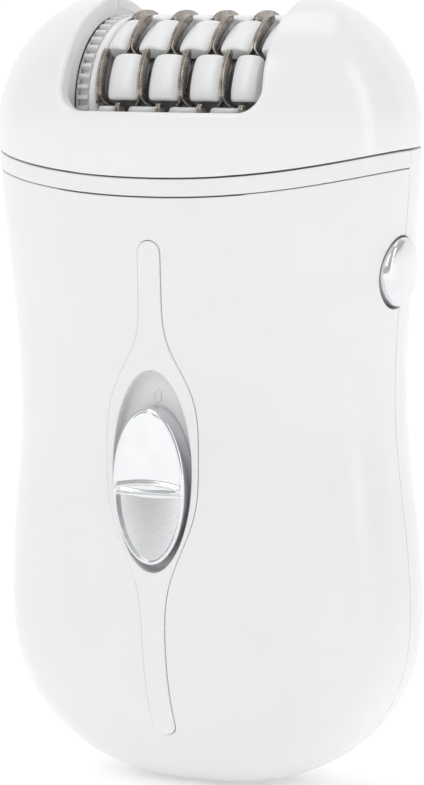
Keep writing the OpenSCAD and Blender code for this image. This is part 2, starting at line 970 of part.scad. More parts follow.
// One plastic disc: hub with blade pockets, and five drum-shaped pillows between them.
function pillow_edge(x) = pillow_r - pillow_droop * pow(abs(x) / (pillow_w / 2), 2.6);
module pillow(low_x, high_x) {
    steps = 8;
    root = station_pitch / 2 - 0.05;
    buried = hub_r - 0.2;
    clear = hub_r + 0.06;
    xs = [for (i = [0:steps]) low_x + (high_x - low_x) * i / steps];
    right = high_x > root + 0.1 ? [[clear, high_x], [clear, root], [buried, root]] : [[buried, high_x]];
    left = low_x < -root - 0.1 ? [[buried, -root], [clear, -root], [clear, low_x]] : [[buried, low_x]];
    rotate_extrude(angle = pillow_span, $fn = 96)
        polygon(concat([for (x = xs) [pillow_edge(x), x]], right, left));
}

module blade_pocket(vertex) {
    outer_r = hub_r + 3;
    roof_r = hub_r - 0.2;
    polygon([
        around(6.8, vertex - 18), around(roof_r, vertex - 18), around(roof_r, vertex - 5),
        around(outer_r, vertex - 5), around(outer_r, vertex + 10), around(6.8, vertex + 10)
    ]);
}

module disc(s) {
    x = station_x(s);
    low = s == 0 ? collar_right_x : x - station_pitch / 2;
    high = s == stations - 1 ? stack_right_x : x + station_pitch / 2;
    pillow_low = max(-pillow_w / 2, collar_right_x - x);
    pillow_high = min(pillow_w / 2, stack_right_x - x);
    vertex = s % 2 == 0 ? vertex_odd : vertex_even;
    pillow_from = vertex + row_step + pillow_lead;
    color(white) {
        along_x(low, rotor_z)
            difference() {
                cylinder(h = high - low, r = hub_r, $fn = 96);
                translate([0, 0, -1]) cylinder(h = 8, r = shaft_r, $fn = 48);
                rod_holes(rod_angle);
                for (k = [0:4])
                    translate([0, 0, x + pocket_left - low])
                        linear_extrude(height = pocket_right - pocket_left)
                            blade_pocket(vertex + k * arm_step);
            }
        for (k = [0:4])
            along_x(x, rotor_z)
                rotate([0, 0, 270 - pillow_from - k * arm_step - pillow_span])
                    pillow(pillow_low, pillow_high);
    }
}

// Outline of one stamped blade: a root round the push rod, a bend and a long curved claw.
module claw(vertex, hole_r) {
    tip = vertex + blade_span;
    difference() {
        polygon([
            around(7.3, vertex - 12), around(9.6, vertex - 14), around(9.9, vertex - 6),
            around(11.2, vertex - 2), around(12.6, vertex + 3), around(13.4, vertex + 9),
            around(tip_r - 0.1, vertex + 18), around(tip_r, tip - 5), around(tip_r - 0.1, tip - 1.5),
            around(tip_r - 0.6, tip), around(tip_r - 1.3, tip - 2), around(12.2, vertex + 20),
            around(11.6, vertex + 10), around(10.2, vertex + 4), around(8, vertex + 1), around(7.3, vertex - 1)
        ]);
        translate(around(rod_circle_r, vertex - rod_lag)) circle(r = hole_r, $fn = 24);
    }
}

module fixed_blades(parity) {
    vertex = parity == 0 ? vertex_odd : vertex_even;
    color(steel)
        for (s = [parity:2:stations - 1], k = [0:4])
            along_x(station_x(s) + fixed_blade_x, rotor_z)
                linear_extrude(height = blade_t)
                    claw(vertex + k * arm_step, rod_hole_r);
}

module fixed_blades_odd() {
    fixed_blades(0);
}

module fixed_blades_even() {
    fixed_blades(1);
}

// Push rod with the moving blades of one row. Rows alternate between odd and even stations.
module clamp_row(k) {
    parity = k % 2;
    vertex = vertex_odd + k * row_step;
    color(steel) {
        along_x(rod_left_x, rotor_z)
            translate(around(rod_circle_r, vertex - rod_lag))
                cylinder(h = rod_right_x - rod_left_x, r = rod_r, $fn = 24);
        for (s = [parity:2:stations - 1])
            along_x(station_x(s) + moving_blade_x, rotor_z)
                linear_extrude(height = blade_t)
                    claw(vertex, rod_r - 0.05);
    }
}

front_shell();
rear_shell();
collar_trim();
front_inlay();
power_inlet();
inlet_contacts();
chassis();
chassis_screws();
motor_can();
motor_magnets();
motor_end_cap();
motor_screws();
compound_axle();
output_axle();
circuit_board();
switch_body();
capacitor();
lead_wires();
thumb_slider();
slider_carrier();
release_button();
latch_slider();
release_spring();
armature();
motor_shaft();
pinion();
compound_gear();
output_gear();
head_housing();
head_base();
bearing_plate_left();
bearing_plate_right();
shaft_bushes();
roller_pins();
head_screws();
roller_left();
roller_right();
rotor_shaft();
rotor_gear();
end_collar();
for (s = [1:stations])
    disc(s - 1);
fixed_blades_odd();
fixed_blades_even();
for (k = [1:rows])
    clamp_row(k - 1);
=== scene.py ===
import json
import math

import bmesh
import bpy
import numpy as np
from mathutils import Matrix, Vector, geometry

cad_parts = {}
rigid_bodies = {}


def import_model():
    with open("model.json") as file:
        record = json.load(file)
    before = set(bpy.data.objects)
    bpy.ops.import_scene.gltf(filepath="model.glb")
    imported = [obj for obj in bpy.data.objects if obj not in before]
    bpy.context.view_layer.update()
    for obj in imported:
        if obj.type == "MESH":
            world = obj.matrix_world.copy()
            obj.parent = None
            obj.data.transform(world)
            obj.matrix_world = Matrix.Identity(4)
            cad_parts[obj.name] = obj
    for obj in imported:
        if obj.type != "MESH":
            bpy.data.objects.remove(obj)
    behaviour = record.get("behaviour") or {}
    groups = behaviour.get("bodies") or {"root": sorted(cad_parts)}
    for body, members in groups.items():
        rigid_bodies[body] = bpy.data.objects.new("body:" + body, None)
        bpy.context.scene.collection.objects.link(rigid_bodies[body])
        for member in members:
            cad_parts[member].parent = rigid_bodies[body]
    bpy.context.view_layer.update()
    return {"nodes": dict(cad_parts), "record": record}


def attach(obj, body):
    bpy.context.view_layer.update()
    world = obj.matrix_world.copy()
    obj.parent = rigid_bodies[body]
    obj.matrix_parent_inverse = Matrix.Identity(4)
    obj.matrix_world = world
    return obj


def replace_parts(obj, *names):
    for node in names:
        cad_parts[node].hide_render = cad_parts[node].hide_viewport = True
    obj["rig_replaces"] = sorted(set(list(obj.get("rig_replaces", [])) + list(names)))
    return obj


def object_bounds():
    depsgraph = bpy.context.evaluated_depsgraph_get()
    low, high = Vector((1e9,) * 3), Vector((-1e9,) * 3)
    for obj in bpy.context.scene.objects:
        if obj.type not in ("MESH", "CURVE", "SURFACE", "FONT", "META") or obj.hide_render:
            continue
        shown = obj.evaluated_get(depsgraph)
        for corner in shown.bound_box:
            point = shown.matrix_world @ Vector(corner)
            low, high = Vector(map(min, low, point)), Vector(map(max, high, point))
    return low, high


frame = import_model()

# ---------------------------------------------------------------- form of the body, in millimetres
MM = 0.001
BELLY_W, WAIST_W, SHOULDER_W, RIDGE_W = 31.3, 29.2, 32.1, 18.0
BELLY_D, WAIST_D, SHOULDER_D = 19.2, 18.35, 18.7
BELLY_Z, WAIST_Z, WAIST_DEPTH_Z, SHOULDER_Z = 27.0, 57.0, 62.0, 97.0
BOWL_DROP, BOWL_N = 27.5, 2.3
CROWN_RISE, CROWN_W_N, CROWN_D_N = 18.2, 1.75, 2.1
CORNER_N = 2.6
WALL = 1.8
PARTING_Y = 1.2
SEAM_FRONT_Z, SEAM_SIDE_Z, SEAM_N, SEAM_HALF_W = 90.2, 93.5, 2.1, 32.0
COLLAR_H = 2.6
TROUGH_LEFT, TROUGH_RIGHT, TROUGH_SLANT, LIP_Z, TROUGH_CORNER = 14.9, 17.3, 1.0, 99.6, 3.4
CHEEK_HOLE_R = 12.6
INLET_R = 4.1
BUTTON_X, BUTTON_Z, BUTTON_R, BUTTON_TILT = 31.9, 76.0, 5.0, math.radians(5)

# Rotor
AXIS_Z = 99.5
STATION_X, PITCH, STATIONS, ROWS = -10.6, 3.34, 8, 10
ROW_STEP = 360 / ROWS
VERTEX = 8.0
BLADE_T, BLADE_GAP = 0.36, 0.015
PILLOW_R, PILLOW_W, PILLOW_SPAN, PILLOW_LEAD = 13.05, 5.3, 32.0, -2.0
HUB_R = 9.4
STACK_LEFT, STACK_RIGHT, END_RIM = -11.5, 14.45, 16.9
ROD_CIRCLE_R, ROD_LAG = 8.6, 6.0

# Inlay, dish and slider
INLAY_TOP, INLAY_LOW, STEM_W = 81.3, 9.1, 1.8
BULGE_W, BULGE_Z, BULGE_REACH, BULGE_UP_N, BULGE_DOWN_N = 7.4, 49.5, 14.6, 4.0, 3.1
DISH_Z, DISH_H, DISH_W, DISH_FLOOR = 48.1, 14.6, 6.4, -16.7
SLIDER_Z, SLIDER_H, SLIDER_W = 46.05, 11.35, 5.8
SLIDER_BACK, SLIDER_FACE = -16.95, -20.0


def ease(a, b, t):
    return a + (b - a) * (1 - np.cos(np.pi * t)) / 2


def dome(t, n):
    return np.maximum(0, 1 - np.clip(t, 0, 1) ** n) ** (1 / n)


def half_w(z):
    z = np.asarray(z, float)
    low = BELLY_W * dome((BELLY_Z - z) / BOWL_DROP, BOWL_N)
    mid = ease(BELLY_W, WAIST_W, (z - BELLY_Z) / (WAIST_Z - BELLY_Z))
    high = ease(WAIST_W, SHOULDER_W, (z - WAIST_Z) / (SHOULDER_Z - WAIST_Z))
    crown = RIDGE_W + (SHOULDER_W - RIDGE_W) * dome((z - SHOULDER_Z) / CROWN_RISE, CROWN_W_N)
    return np.select([z < BELLY_Z, z < WAIST_Z, z < SHOULDER_Z], [low, mid, high], crown)


def half_d(z):
    z = np.asarray(z, float)
    low = BELLY_D * dome((BELLY_Z - z) / BOWL_DROP, BOWL_N)
    mid = ease(BELLY_D, WAIST_D, (z - BELLY_Z) / (WAIST_DEPTH_Z - BELLY_Z))
    high = ease(WAIST_D, SHOULDER_D, (z - WAIST_DEPTH_Z) / (SHOULDER_Z - WAIST_DEPTH_Z))
    crown = SHOULDER_D * dome((z - SHOULDER_Z) / CROWN_RISE, CROWN_D_N)
    return np.select([z < BELLY_Z, z < WAIST_DEPTH_Z, z < SHOULDER_Z], [low, mid, high], crown)


def seam_z(x):
    return SEAM_FRONT_Z + (SEAM_SIDE_Z - SEAM_FRONT_Z) * np.minimum(1, np.abs(x) / SEAM_HALF_W) ** SEAM_N


# A point of the skin is named by phi, the angle round the section, and v, the length along a meridian.
# Below v = 0 the skin runs flat across the foot to the rim of the inlet.
TOP_Z = SHOULDER_Z + CROWN_RISE
_t = np.linspace(0, 1, 4001)
_z = TOP_Z * (1 - np.cos(np.pi * _t)) / 2
_step = np.sqrt(np.diff(_z) ** 2 + np.diff(half_w(_z)) ** 2 / 2 + np.diff(half_d(_z)) ** 2 / 2)
_v = np.concatenate([[0], np.cumsum(_step)])
V_TOP = _v[-1]
FOOT_RUN = 2.5
S_SCALE = 26.0


def z_of_v(v):
    return np.interp(v, _v, _z)


def v_of_z(z):
    return np.interp(z, _z, _v)


def unit_section(phi, n=CORNER_N):
    c, s = np.cos(phi), np.sin(phi)
    k = (np.abs(c) ** n + np.abs(s) ** n) ** (-1 / n)
    return c * k, s * k


def skin(phi, v):
    """Points of the outer form and their outward normals."""
    phi, v = np.broadcast_arrays(np.asarray(phi, float), np.asarray(v, float))
    z = z_of_v(np.maximum(v, 0))
    a, b = half_w(z), half_d(z)
    cx, cy = unit_section(phi)
    x, y = a * cx, b * cy
    h = 1e-3
    zl, zh = np.clip(z - h, 0, TOP_Z), np.clip(z + h, 0, TOP_Z)
    da = (half_w(zh) - half_w(zl)) / np.maximum(zh - zl, 1e-9)
    db = (half_d(zh) - half_d(zl)) / np.maximum(zh - zl, 1e-9)
    safe_b = np.maximum(b, 1e-3)
    ux, uy = np.abs(cx) ** (CORNER_N - 1), np.abs(cy) ** (CORNER_N - 1)
    nx = np.sign(cx) * ux / a
    ny = np.sign(cy) * uy / safe_b
    nz = -(np.abs(cx) ** CORNER_N * da / a + np.abs(cy) ** CORNER_N * db / safe_b)
    n = np.stack([nx, ny, nz], -1)
    apex = z > TOP_Z - 2e-3
    n[apex] = (0, 0, 1)
    n /= np.linalg.norm(n, axis=-1, keepdims=True)
    p = np.stack([x, y, z], -1)
    foot = v < 0
    if foot.any():
        w = np.clip(1 + v / FOOT_RUN, 0, 1)[..., None]
        ring = p[..., :2]
        hole = INLET_R * ring / np.maximum(np.linalg.norm(ring, axis=-1, keepdims=True), 1e-9)
        flat = np.concatenate([hole * (1 - w) + ring * w, np.zeros_like(w)], -1)
        p = np.where(foot[..., None], flat, p)
        n = np.where(foot[..., None], np.array([0, 0, -1.0]), n)
    return p, n


# ---------------------------------------------------------------- mesh helpers
def new_object(name, verts, faces, normals=None, material=None):
    """A smooth mesh object from points in millimetres. Normals, where given, are one per vertex."""
    verts = np.asarray(verts, float)
    if normals is not None:
        turned = []
        for f in faces:
            ring = verts[list(f)]
            area = np.cross(ring - ring[0], np.roll(ring, -1, axis=0) - ring[0]).sum(0)
            turned.append(f if area @ normals[list(f)].sum(0) >= 0 else tuple(f)[::-1])
        faces = turned
    mesh = bpy.data.meshes.new(name)
    mesh.from_pydata([tuple(p) for p in verts * MM], [], [tuple(map(int, f)) for f in faces])
    mesh.validate()
    mesh.polygons.foreach_set("use_smooth", [True] * len(mesh.polygons))
    if normals is not None:
        mesh.normals_split_custom_set_from_vertices([tuple(n) for n in normals])
    mesh.update()
    obj = bpy.data.objects.new(name, mesh)
    bpy.context.scene.collection.objects.link(obj)
    if material:
        mesh.materials.append(material)
    return obj


def join(parts):
    """Several (verts, faces, normals) as one."""
    verts, faces, normals, base = [], [], [], 0
    for v, f, n in parts:
        verts.append(np.asarray(v, float))
        normals.append(np.asarray(n, float))
        faces += [tuple(i + base for i in face) for face in f]
        base += len(v)
    return np.concatenate(verts), faces, np.concatenate(normals)


def grid_faces(rows, cols, wrap=False, flip=False, base=0):
    faces = []
    last = cols if wrap else cols - 1
    for r in range(rows - 1):
        for c in range(last):
            d = (c + 1) % cols
            here, over = base + r * cols, base + (r + 1) * cols
            quad = (here + c, here + d, over + d, over + c)
            faces.append(quad[::-1] if flip else quad)
    return faces


def grid_normals(points, flip=False):
    """Normals of a rows x cols grid of points."""
    du = np.gradient(points, axis=1)
    dv = np.gradient(points, axis=0)
    n = np.cross(du, dv)
    n /= np.maximum(np.linalg.norm(n, axis=-1, keepdims=True), 1e-12)
    return -n if flip else n


def inside(points, loops):
    """Even-odd test of points against closed loops."""
    hit = np.zeros(len(points), bool)
    x, y = points[:, 0], points[:, 1]
    for loop in loops:
        a = np.asarray(loop)
        b = np.roll(a, -1, axis=0)
        for (x0, y0), (x1, y1) in zip(a, b):
            if y0 == y1:
                continue
            crosses = (y0 > y) != (y1 > y)
            hit ^= crosses & (x < (x1 - x0) * (y - y0) / (y1 - y0) + x0)
    return hit


def resample(loop, step):
    """Evenly spaced points along a closed loop, with its sharp corners kept."""
    loop = np.asarray(loop, float)
    out = []
    count = len(loop)
    for i in range(count):
        a, b = loop[i], loop[(i + 1) % count]
        n = max(1, int(math.ceil(np.linalg.norm(b - a) / step)))
        for k in range(n):
            out.append(a + (b - a) * k / n)
    return np.array(out)


def signed_area(loop):
    a, b = loop, np.roll(loop, -1, axis=0)
    return 0.5 * np.sum(a[:, 0] * b[:, 1] - b[:, 0] * a[:, 1])


def oriented(loop, ccw=True):
    return loop if (signed_area(loop) > 0) == ccw else loop[::-1]


def fill(loops, step, margin=0.45):
    """Triangulates the region between an outer loop and holes, with a lattice of inner points."""
    every = np.concatenate(loops)
    lo, hi = every.min(0), every.max(0)
    xs = np.arange(lo[0] + step / 2, hi[0], step)
    ys = np.arange(lo[1] + step / 2, hi[1], step)
    gx, gy = np.meshgrid(xs, ys)
    gx[1::2] += step / 2
    pts = np.stack([gx.ravel(), gy.ravel()], -1)
    pts = pts[inside(pts, loops)]
    keep = np.ones(len(pts), bool)
    for loop in loops:
        for chunk in np.array_split(loop, max(1, len(loop) // 64)):
            d = np.linalg.norm(pts[:, None] - chunk[None], axis=-1).min(1)
            keep &= d > margin * step
    pts = pts[keep]
    edges, base = [], 0
    for loop in loops:
        edges += [(base + i, base + (i + 1) % len(loop)) for i in range(len(loop))]
        base += len(loop)
    coords = [Vector(p) for p in np.concatenate([every, pts])]
    verts, _, faces, orig, _, _ = geometry.delaunay_2d_cdt(coords, edges, [], 0, 1e-6, True)
    verts = np.array([tuple(p) for p in verts])
    order = {}
    for new, olds in enumerate(orig):
        for old in olds:
            order[old] = new
    tri = np.array([f for f in faces if len(f) == 3])
    centres = verts[tri].mean(1)
    tri = tri[inside(centres, loops)]
    a, b, c = verts[tri[:, 0]], verts[tri[:, 1]], verts[tri[:, 2]]
    area = (b[:, 0] - a[:, 0]) * (c[:, 1] - a[:, 1]) - (b[:, 1] - a[:, 1]) * (c[:, 0] - a[:, 0])
    tri[area < 0] = tri[area < 0][:, ::-1]
    rings, base = [], 0
    for loop in loops:
        rings.append([order[base + i] for i in range(len(loop))])
        base += len(loop)
    return verts, tri, rings


def merged(verts, normals, tris, tol=1e-4):
    """The same surface with coincident points joined."""
    key = np.round(verts / tol).astype(np.int64)
    _, first, inverse = np.unique(key, axis=0, return_index=True, return_inverse=True)
    inverse = inverse.ravel()
    tris = inverse[np.asarray(tris)]
    good = (tris[:, 0] != tris[:, 1]) & (tris[:, 1] != tris[:, 2]) & (tris[:, 0] != tris[:, 2])
    return verts[first], normals[first], tris[good]


def rims(tris):
    """Closed loops of the edges that have one face, in the direction of their faces."""
    edges = np.concatenate([tris[:, [0, 1]], tris[:, [1, 2]], tris[:, [2, 0]]])
    seen = {(a, b) for a, b in edges.tolist()}
    after = {a: b for a, b in edges.tolist() if (b, a) not in seen}
    loops = []
    while after:
        start, here = next(iter(after.items()))
        loop = [start]
        del after[start]
        while here != start:
            loop.append(here)
            here = after.pop(here)
        loops.append(np.array(loop))
    return loops


def solid_skin(p, n, tris, edge_r, wall=WALL, arc=4):
    """A thick panel from an outer surface: rounded edges, a wall and an inner skin.

    edge_r gives the rounding from the points of a rim, in millimetres.
    The rounding runs on outwards from the rim.
    """
    tris = np.asarray(tris)
    count = len(p)
    verts, normals = [p, p - n * wall], [n, -n]
    faces = [tuple(t) for t in tris.tolist()] + [tuple(count + i for i in t[::-1]) for t in tris.tolist()]
    count *= 2
    for rim in rims(tris):
        rp, rn = p[rim], n[rim]
        m = len(rim)
        r = np.broadcast_to(edge_r(rp), (m,))[:, None]
        tangent = np.roll(rp, -1, axis=0) - np.roll(rp, 1, axis=0)
        out = np.cross(tangent, rn)
        out /= np.maximum(np.linalg.norm(out, axis=1, keepdims=True), 1e-9)
        centre = rp - rn * r
        rings = [(rim, None, None)]
        for k in range(1, arc + 1):
            a = math.pi / 2 * k / arc
            way = rn * math.cos(a) + out * math.sin(a)
            rings.append((None, centre + way * r, way))
        deep = centre + out * r - rn * (wall - r)
        rings += [("cut", centre + out * r, out), (None, deep, out)]
        rings += [("cut", deep, -rn), (None, rp - rn * wall, -rn)]
        last = rim
        for mark, points, way in rings[1:]:
            verts.append(points)
            normals.append(way)
            now = count + np.arange(m)
            count += m
            if mark != "cut":
                faces += [(last[i], now[i], now[(i + 1) % m], last[(i + 1) % m]) for i in range(m)]
            last = now
    return np.concatenate(verts), faces, np.concatenate(normals)


# ---------------------------------------------------------------- places on the skin
def front_phi(x, z):
    """Section angle of the front point above x."""
    q = np.clip(np.abs(x) / half_w(z), 0, 0.9999) ** CORNER_N
    return 1.5 * math.pi + np.sign(x) * np.arctan((q / (1 - q)) ** (1 / CORNER_N))


def side_phi(y, z):
    """Section angle of the point at depth y on the right side."""
    q = np.clip(np.abs(y) / np.maximum(half_d(z), 0.01), 0, 0.9999) ** CORNER_N
    return np.sign(y) * np.arctan((q / (1 - q)) ** (1 / CORNER_N))


def to_domain(phi, z):
    return np.stack([np.broadcast_to(phi, np.shape(z)) * S_SCALE, v_of_z(z)], -1)


def on_skin(q):
    return skin(q[:, 0] / S_SCALE, q[:, 1])


def spaced(a, b, step):
    return np.linspace(a, b, max(2, int(abs(b - a) / step) + 1))


def seam_height(phi, offset):
    """Height of the front seam curve, moved by offset, at a section angle."""
    z = np.full(np.shape(phi), SEAM_FRONT_Z)
    for _ in range(6):
        z = seam_z(half_w(z) * unit_section(phi)[0]) + offset
    return z


def shell_outline(side, edge, top_offset, r):
    """Outline of one shell from the inlet's rim to its top seam, with the arc round the button."""
    front = side < 0
    y = PARTING_Y + side * (0.06 + edge)
    turn = 2 * math.pi if front else 0
    top_z = SEAM_SIDE_Z + top_offset
    bore = BUTTON_R + 0.3 + r
    half = math.sqrt(bore ** 2 - y ** 2)
    start = math.atan2(half, y)
    sweep = spaced(start, 2 * math.pi - start if front else -start, 0.05)
    bore_y, bore_z = bore * np.cos(sweep[::-1]), BUTTON_Z + bore * np.sin(sweep[::-1])
    low = spaced(0.02, BUTTON_Z - half, 0.8)
    high = spaced(BUTTON_Z + half, top_z, 0.8)
    ys = np.concatenate([np.full(len(low), y), bore_y[1:-1], np.full(len(high), y)])
    zs = np.concatenate([low, bore_z[1:-1], high])
    right = to_domain(turn + side_phi(ys, zs), zs)
    plain = spaced(0.02, top_z, 0.8)
    left = to_domain(math.pi - side_phi(np.full(len(plain), y), plain), plain)
    first, last = right[-1, 0] / S_SCALE, left[-1, 0] / S_SCALE
    phis = spaced(first, last, 0.03)[1:-1]
    z = seam_height(phis, top_offset) if front else np.full(len(phis), top_z)
    top = to_domain(phis, z)
    foot = np.stack([spaced(left[0, 0] / S_SCALE, right[0, 0] / S_SCALE, 0.05) * S_SCALE] * 2, -1)
    foot[:, 1] = -FOOT_RUN
    return np.concatenate([right, top, left[::-1], foot])


def window(grow):
    """Outline of the front inlay in x and z."""
    low, high = INLAY_LOW + STEM_W, INLAY_TOP - STEM_W
    z = spaced(low, high, 0.7)
    t = np.abs(z - BULGE_Z) / BULGE_REACH
    w = STEM_W + (BULGE_W - STEM_W) * np.exp(-t ** np.where(z > BULGE_Z, BULGE_UP_N, BULGE_DOWN_N)) + grow
    a = spaced(0, math.pi, 0.2)[1:-1]
    r = STEM_W + grow
    cap = np.stack([r * np.cos(a), high + r * np.sin(a)], -1)
    foot = np.stack([-r * np.cos(a), low - r * np.sin(a)], -1)
    right, left = np.stack([w, z], -1), np.stack([-w, z], -1)[::-1]
    return np.concatenate([right, cap, left, foot])


def oval_loop(w, h, z, count=110):
    a = np.arange(count) * 2 * math.pi / count
    return np.stack([w * np.cos(a), z + h * np.sin(a)], -1)


def from_front(loop):
    """A loop in x and z as a loop in the skin's own coordinates."""
    return to_domain(front_phi(loop[:, 0], loop[:, 1]), loop[:, 1])


def on_front(q):
    return skin(front_phi(q[:, 0], q[:, 1]), v_of_z(q[:, 1]))


# ---------------------------------------------------------------- finishes
def node_material(name):
    mat = bpy.data.materials.new(name)
    mat.use_nodes = True
    tree = mat.node_tree
    shader = tree.nodes["Principled BSDF"]
    coords = tree.nodes.new("ShaderNodeTexCoord")
    return mat, tree, shader, coords


def noise(tree, source, scale, detail=4.0, stretch=(1, 1, 1)):
    mapping = tree.nodes.new("ShaderNodeMapping")
    mapping.inputs["Scale"].default_value = stretch
    tex = tree.nodes.new("ShaderNodeTexNoise")
    tex.inputs["Scale"].default_value = scale
    tex.inputs["Detail"].default_value = detail
    tree.links.new(source, mapping.inputs["Vector"])
    tree.links.new(mapping.outputs["Vector"], tex.inputs["Vector"])
    return tex.outputs["Fac"]


def spread(tree, source, low, high, start=0.3, end=0.7):
    node = tree.nodes.new("ShaderNodeMapRange")
    for key, value in (("From Min", start), ("From Max", end), ("To Min", low), ("To Max", high)):
        node.inputs[key].default_value = value
    tree.links.new(source, node.inputs["Value"])
    return node.outputs["Result"]


def tint(tree, source, first, second):
    node = tree.nodes.new("ShaderNodeMix")
    node.data_type = "RGBA"
    node.inputs[6].default_value = (*first, 1)
    node.inputs[7].default_value = (*second, 1)
    tree.links.new(source, node.inputs[0])
    return node.outputs[2]


def bump(tree, source, shader, depth, strength=1.0):
    node = tree.nodes.new("ShaderNodeBump")
    node.inputs["Distance"].default_value = depth * MM
    node.inputs["Strength"].default_value = strength
    tree.links.new(source, node.inputs["Height"])
    tree.links.new(node.outputs["Normal"], shader.inputs["Normal"])


def plastic(name, base, shade, rough=(0.2, 0.3), grain=2600, depth=0.004, coat=0.0, sheen_scale=90):
    mat, tree, shader, coords = node_material(name)
    soft = noise(tree, coords.outputs["Object"], sheen_scale, 3)
    fine = noise(tree, coords.outputs["Object"], grain, 6)
    tree.links.new(tint(tree, spread(tree, soft, 0, 1), base, shade), shader.inputs["Base Color"])
    tree.links.new(spread(tree, fine, *rough), shader.inputs["Roughness"])
    bump(tree, fine, shader, depth)
    shader.inputs["IOR"].default_value = 1.49
    shader.inputs["Coat Weight"].default_value = coat
    shader.inputs["Coat Roughness"].default_value = 0.08
    return mat


def metal(name, base, shade, rough=(0.2, 0.4), grain=1800, stretch=(1, 1, 1), depth=0.003, sheen_scale=300):
    mat, tree, shader, coords = node_material(name)
    soft = noise(tree, coords.outputs["Object"], sheen_scale, 3)
    fine = noise(tree, coords.outputs["Object"], grain, 5, stretch)
    tree.links.new(tint(tree, spread(tree, soft, 0, 1), base, shade), shader.inputs["Base Color"])
    tree.links.new(spread(tree, fine, *rough), shader.inputs["Roughness"])
    bump(tree, fine, shader, depth)
    shader.inputs["Metallic"].default_value = 1.0
    return mat


FINISH = {
    "shell_white": plastic("shell_white", (0.865, 0.865, 0.870), (0.850, 0.850, 0.858), (0.20, 0.27)),
    "head_white": plastic("head_white", (0.885, 0.885, 0.888), (0.872, 0.872, 0.876), (0.14, 0.20)),
    "inlay_white": plastic("inlay_white", (0.870, 0.870, 0.875), (0.850, 0.850, 0.857), (0.20, 0.30)),
    # dish floor and the 0 in it: a greyer white that paints in the shade of the sunk dish
    "dish_grey": plastic("dish_grey", (0.78, 0.78, 0.79), (0.74, 0.74, 0.75), (0.3, 0.42), depth=0.006),
    "pillow_white": plastic("pillow_white", (0.875, 0.878, 0.885), (0.845, 0.85, 0.86), (0.16, 0.24)),
    "gear_white": plastic("gear_white", (0.80, 0.805, 0.81), (0.76, 0.765, 0.77), (0.25, 0.35)),
    # hub between the pillow rows: a dark grey that paints in the shade of the gaps between rows on the white disc
    "hub_grey": plastic("hub_grey", (0.40, 0.39, 0.385), (0.33, 0.32, 0.315), (0.35, 0.5)),
    "inner_plastic": plastic("inner_plastic", (0.66, 0.67, 0.68), (0.60, 0.61, 0.62),
                             (0.35, 0.5), depth=0.008),
    "black_plastic": plastic("black_plastic", (0.022, 0.022, 0.024), (0.035, 0.035, 0.037), (0.35, 0.5)),
    "roller_rubber": plastic("roller_rubber", (0.05, 0.05, 0.052), (0.075, 0.075, 0.078),
                             (0.6, 0.8), depth=0.02),
    "board_green": plastic("board_green", (0.02, 0.15, 0.06), (0.03, 0.20, 0.085), (0.3, 0.45), grain=1400),
    "part_blue": plastic("part_blue", (0.03, 0.10, 0.33), (0.045, 0.13, 0.40), (0.25, 0.4)),
    "wire_red": plastic("wire_red", (0.48, 0.02, 0.02), (0.58, 0.04, 0.03), (0.35, 0.5)),
    "chrome_trim": metal("chrome_trim", (0.80, 0.81, 0.82), (0.76, 0.77, 0.785),
                         (0.10, 0.16), 2400, depth=0.0015),
    "blade_steel": metal("blade_steel", (0.47, 0.43, 0.39), (0.30, 0.27, 0.24),
                         (0.18, 0.36), 2600, (0.3, 1, 1), 0.006, 700),
    "bright_steel": metal("bright_steel", (0.66, 0.66, 0.67), (0.58, 0.58, 0.59),
                          (0.18, 0.32), 2200, (0.2, 1, 1)),
    "magnet_grey": metal("magnet_grey", (0.17, 0.17, 0.18), (0.12, 0.12, 0.13),
                         (0.45, 0.65), 1600, depth=0.01),
    "copper_part": metal("copper_part", (0.74, 0.34, 0.17), (0.62, 0.27, 0.13),
                         (0.25, 0.42), 2000, (0.25, 1, 1)),
    "bush_bronze": metal("bush_bronze", (0.58, 0.40, 0.19), (0.49, 0.33, 0.15),
                         (0.3, 0.48), 1800, depth=0.006),
}


def piece(name, mesh, slot, body, *nodes, finish=None):
    verts, faces, normals = mesh
    obj = new_object(name, verts, faces, normals, FINISH[finish or slot])
    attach(obj, body)
    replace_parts(obj, *nodes)
    return obj


# ---------------------------------------------------------------- handle
EDGE = 0.12
SEAM_R = 0.2


def shell_edge(p):
    return np.where(p[:, 2] > 88, SEAM_R, EDGE)


hole = from_front(window(0.08 + EDGE))
front = shell_outline(-1, EDGE, -COLLAR_H - 0.12 - SEAM_R, EDGE)
flat, tri, _ = fill([oriented(front), oriented(hole, False)], 1.1)
piece("handle_front", solid_skin(*on_skin(flat), tri, shell_edge), "shell_white", "handle", "front_shell")

flat, tri, _ = fill([oriented(shell_outline(1, EDGE, -0.12 - SEAM_R, EDGE))], 1.1)
piece("handle_rear", solid_skin(*on_skin(flat), tri, shell_edge), "shell_white", "handle", "rear_shell")


def collar_mesh():
    y = PARTING_Y - 0.06 - EDGE
    z_low, z_high = SEAM_SIDE_Z - COLLAR_H + SEAM_R, SEAM_SIDE_Z - 0.12 - SEAM_R
    side = spaced(z_low, z_high, 0.5)
    right = to_domain(2 * math.pi + side_phi(np.full(len(side), y), side), side)
    left = to_domain(math.pi - side_phi(np.full(len(side), y), side), side)
    phis = spaced(right[-1, 0] / S_SCALE, left[-1, 0] / S_SCALE, 0.03)[1:-1]
    top = to_domain(phis, seam_height(phis, -0.12 - SEAM_R))
    low = to_domain(phis, seam_height(phis, -COLLAR_H + SEAM_R))
    loop = np.concatenate([right, top, left[::-1], low[::-1]])
    flat, tri, _ = fill([oriented(loop)], 0.8)
    return solid_skin(*on_skin(flat), tri, lambda p: SEAM_R)


piece("handle_collar", collar_mesh(), "shell_white", "handle", "collar_trim")


# Inlay: a thin raised plate with an oval dish sunk into it.
INLAY_LIFT, INLAY_R, DISH_R, DISH_FILLET = 0.16, 0.14, 0.2, 0.8


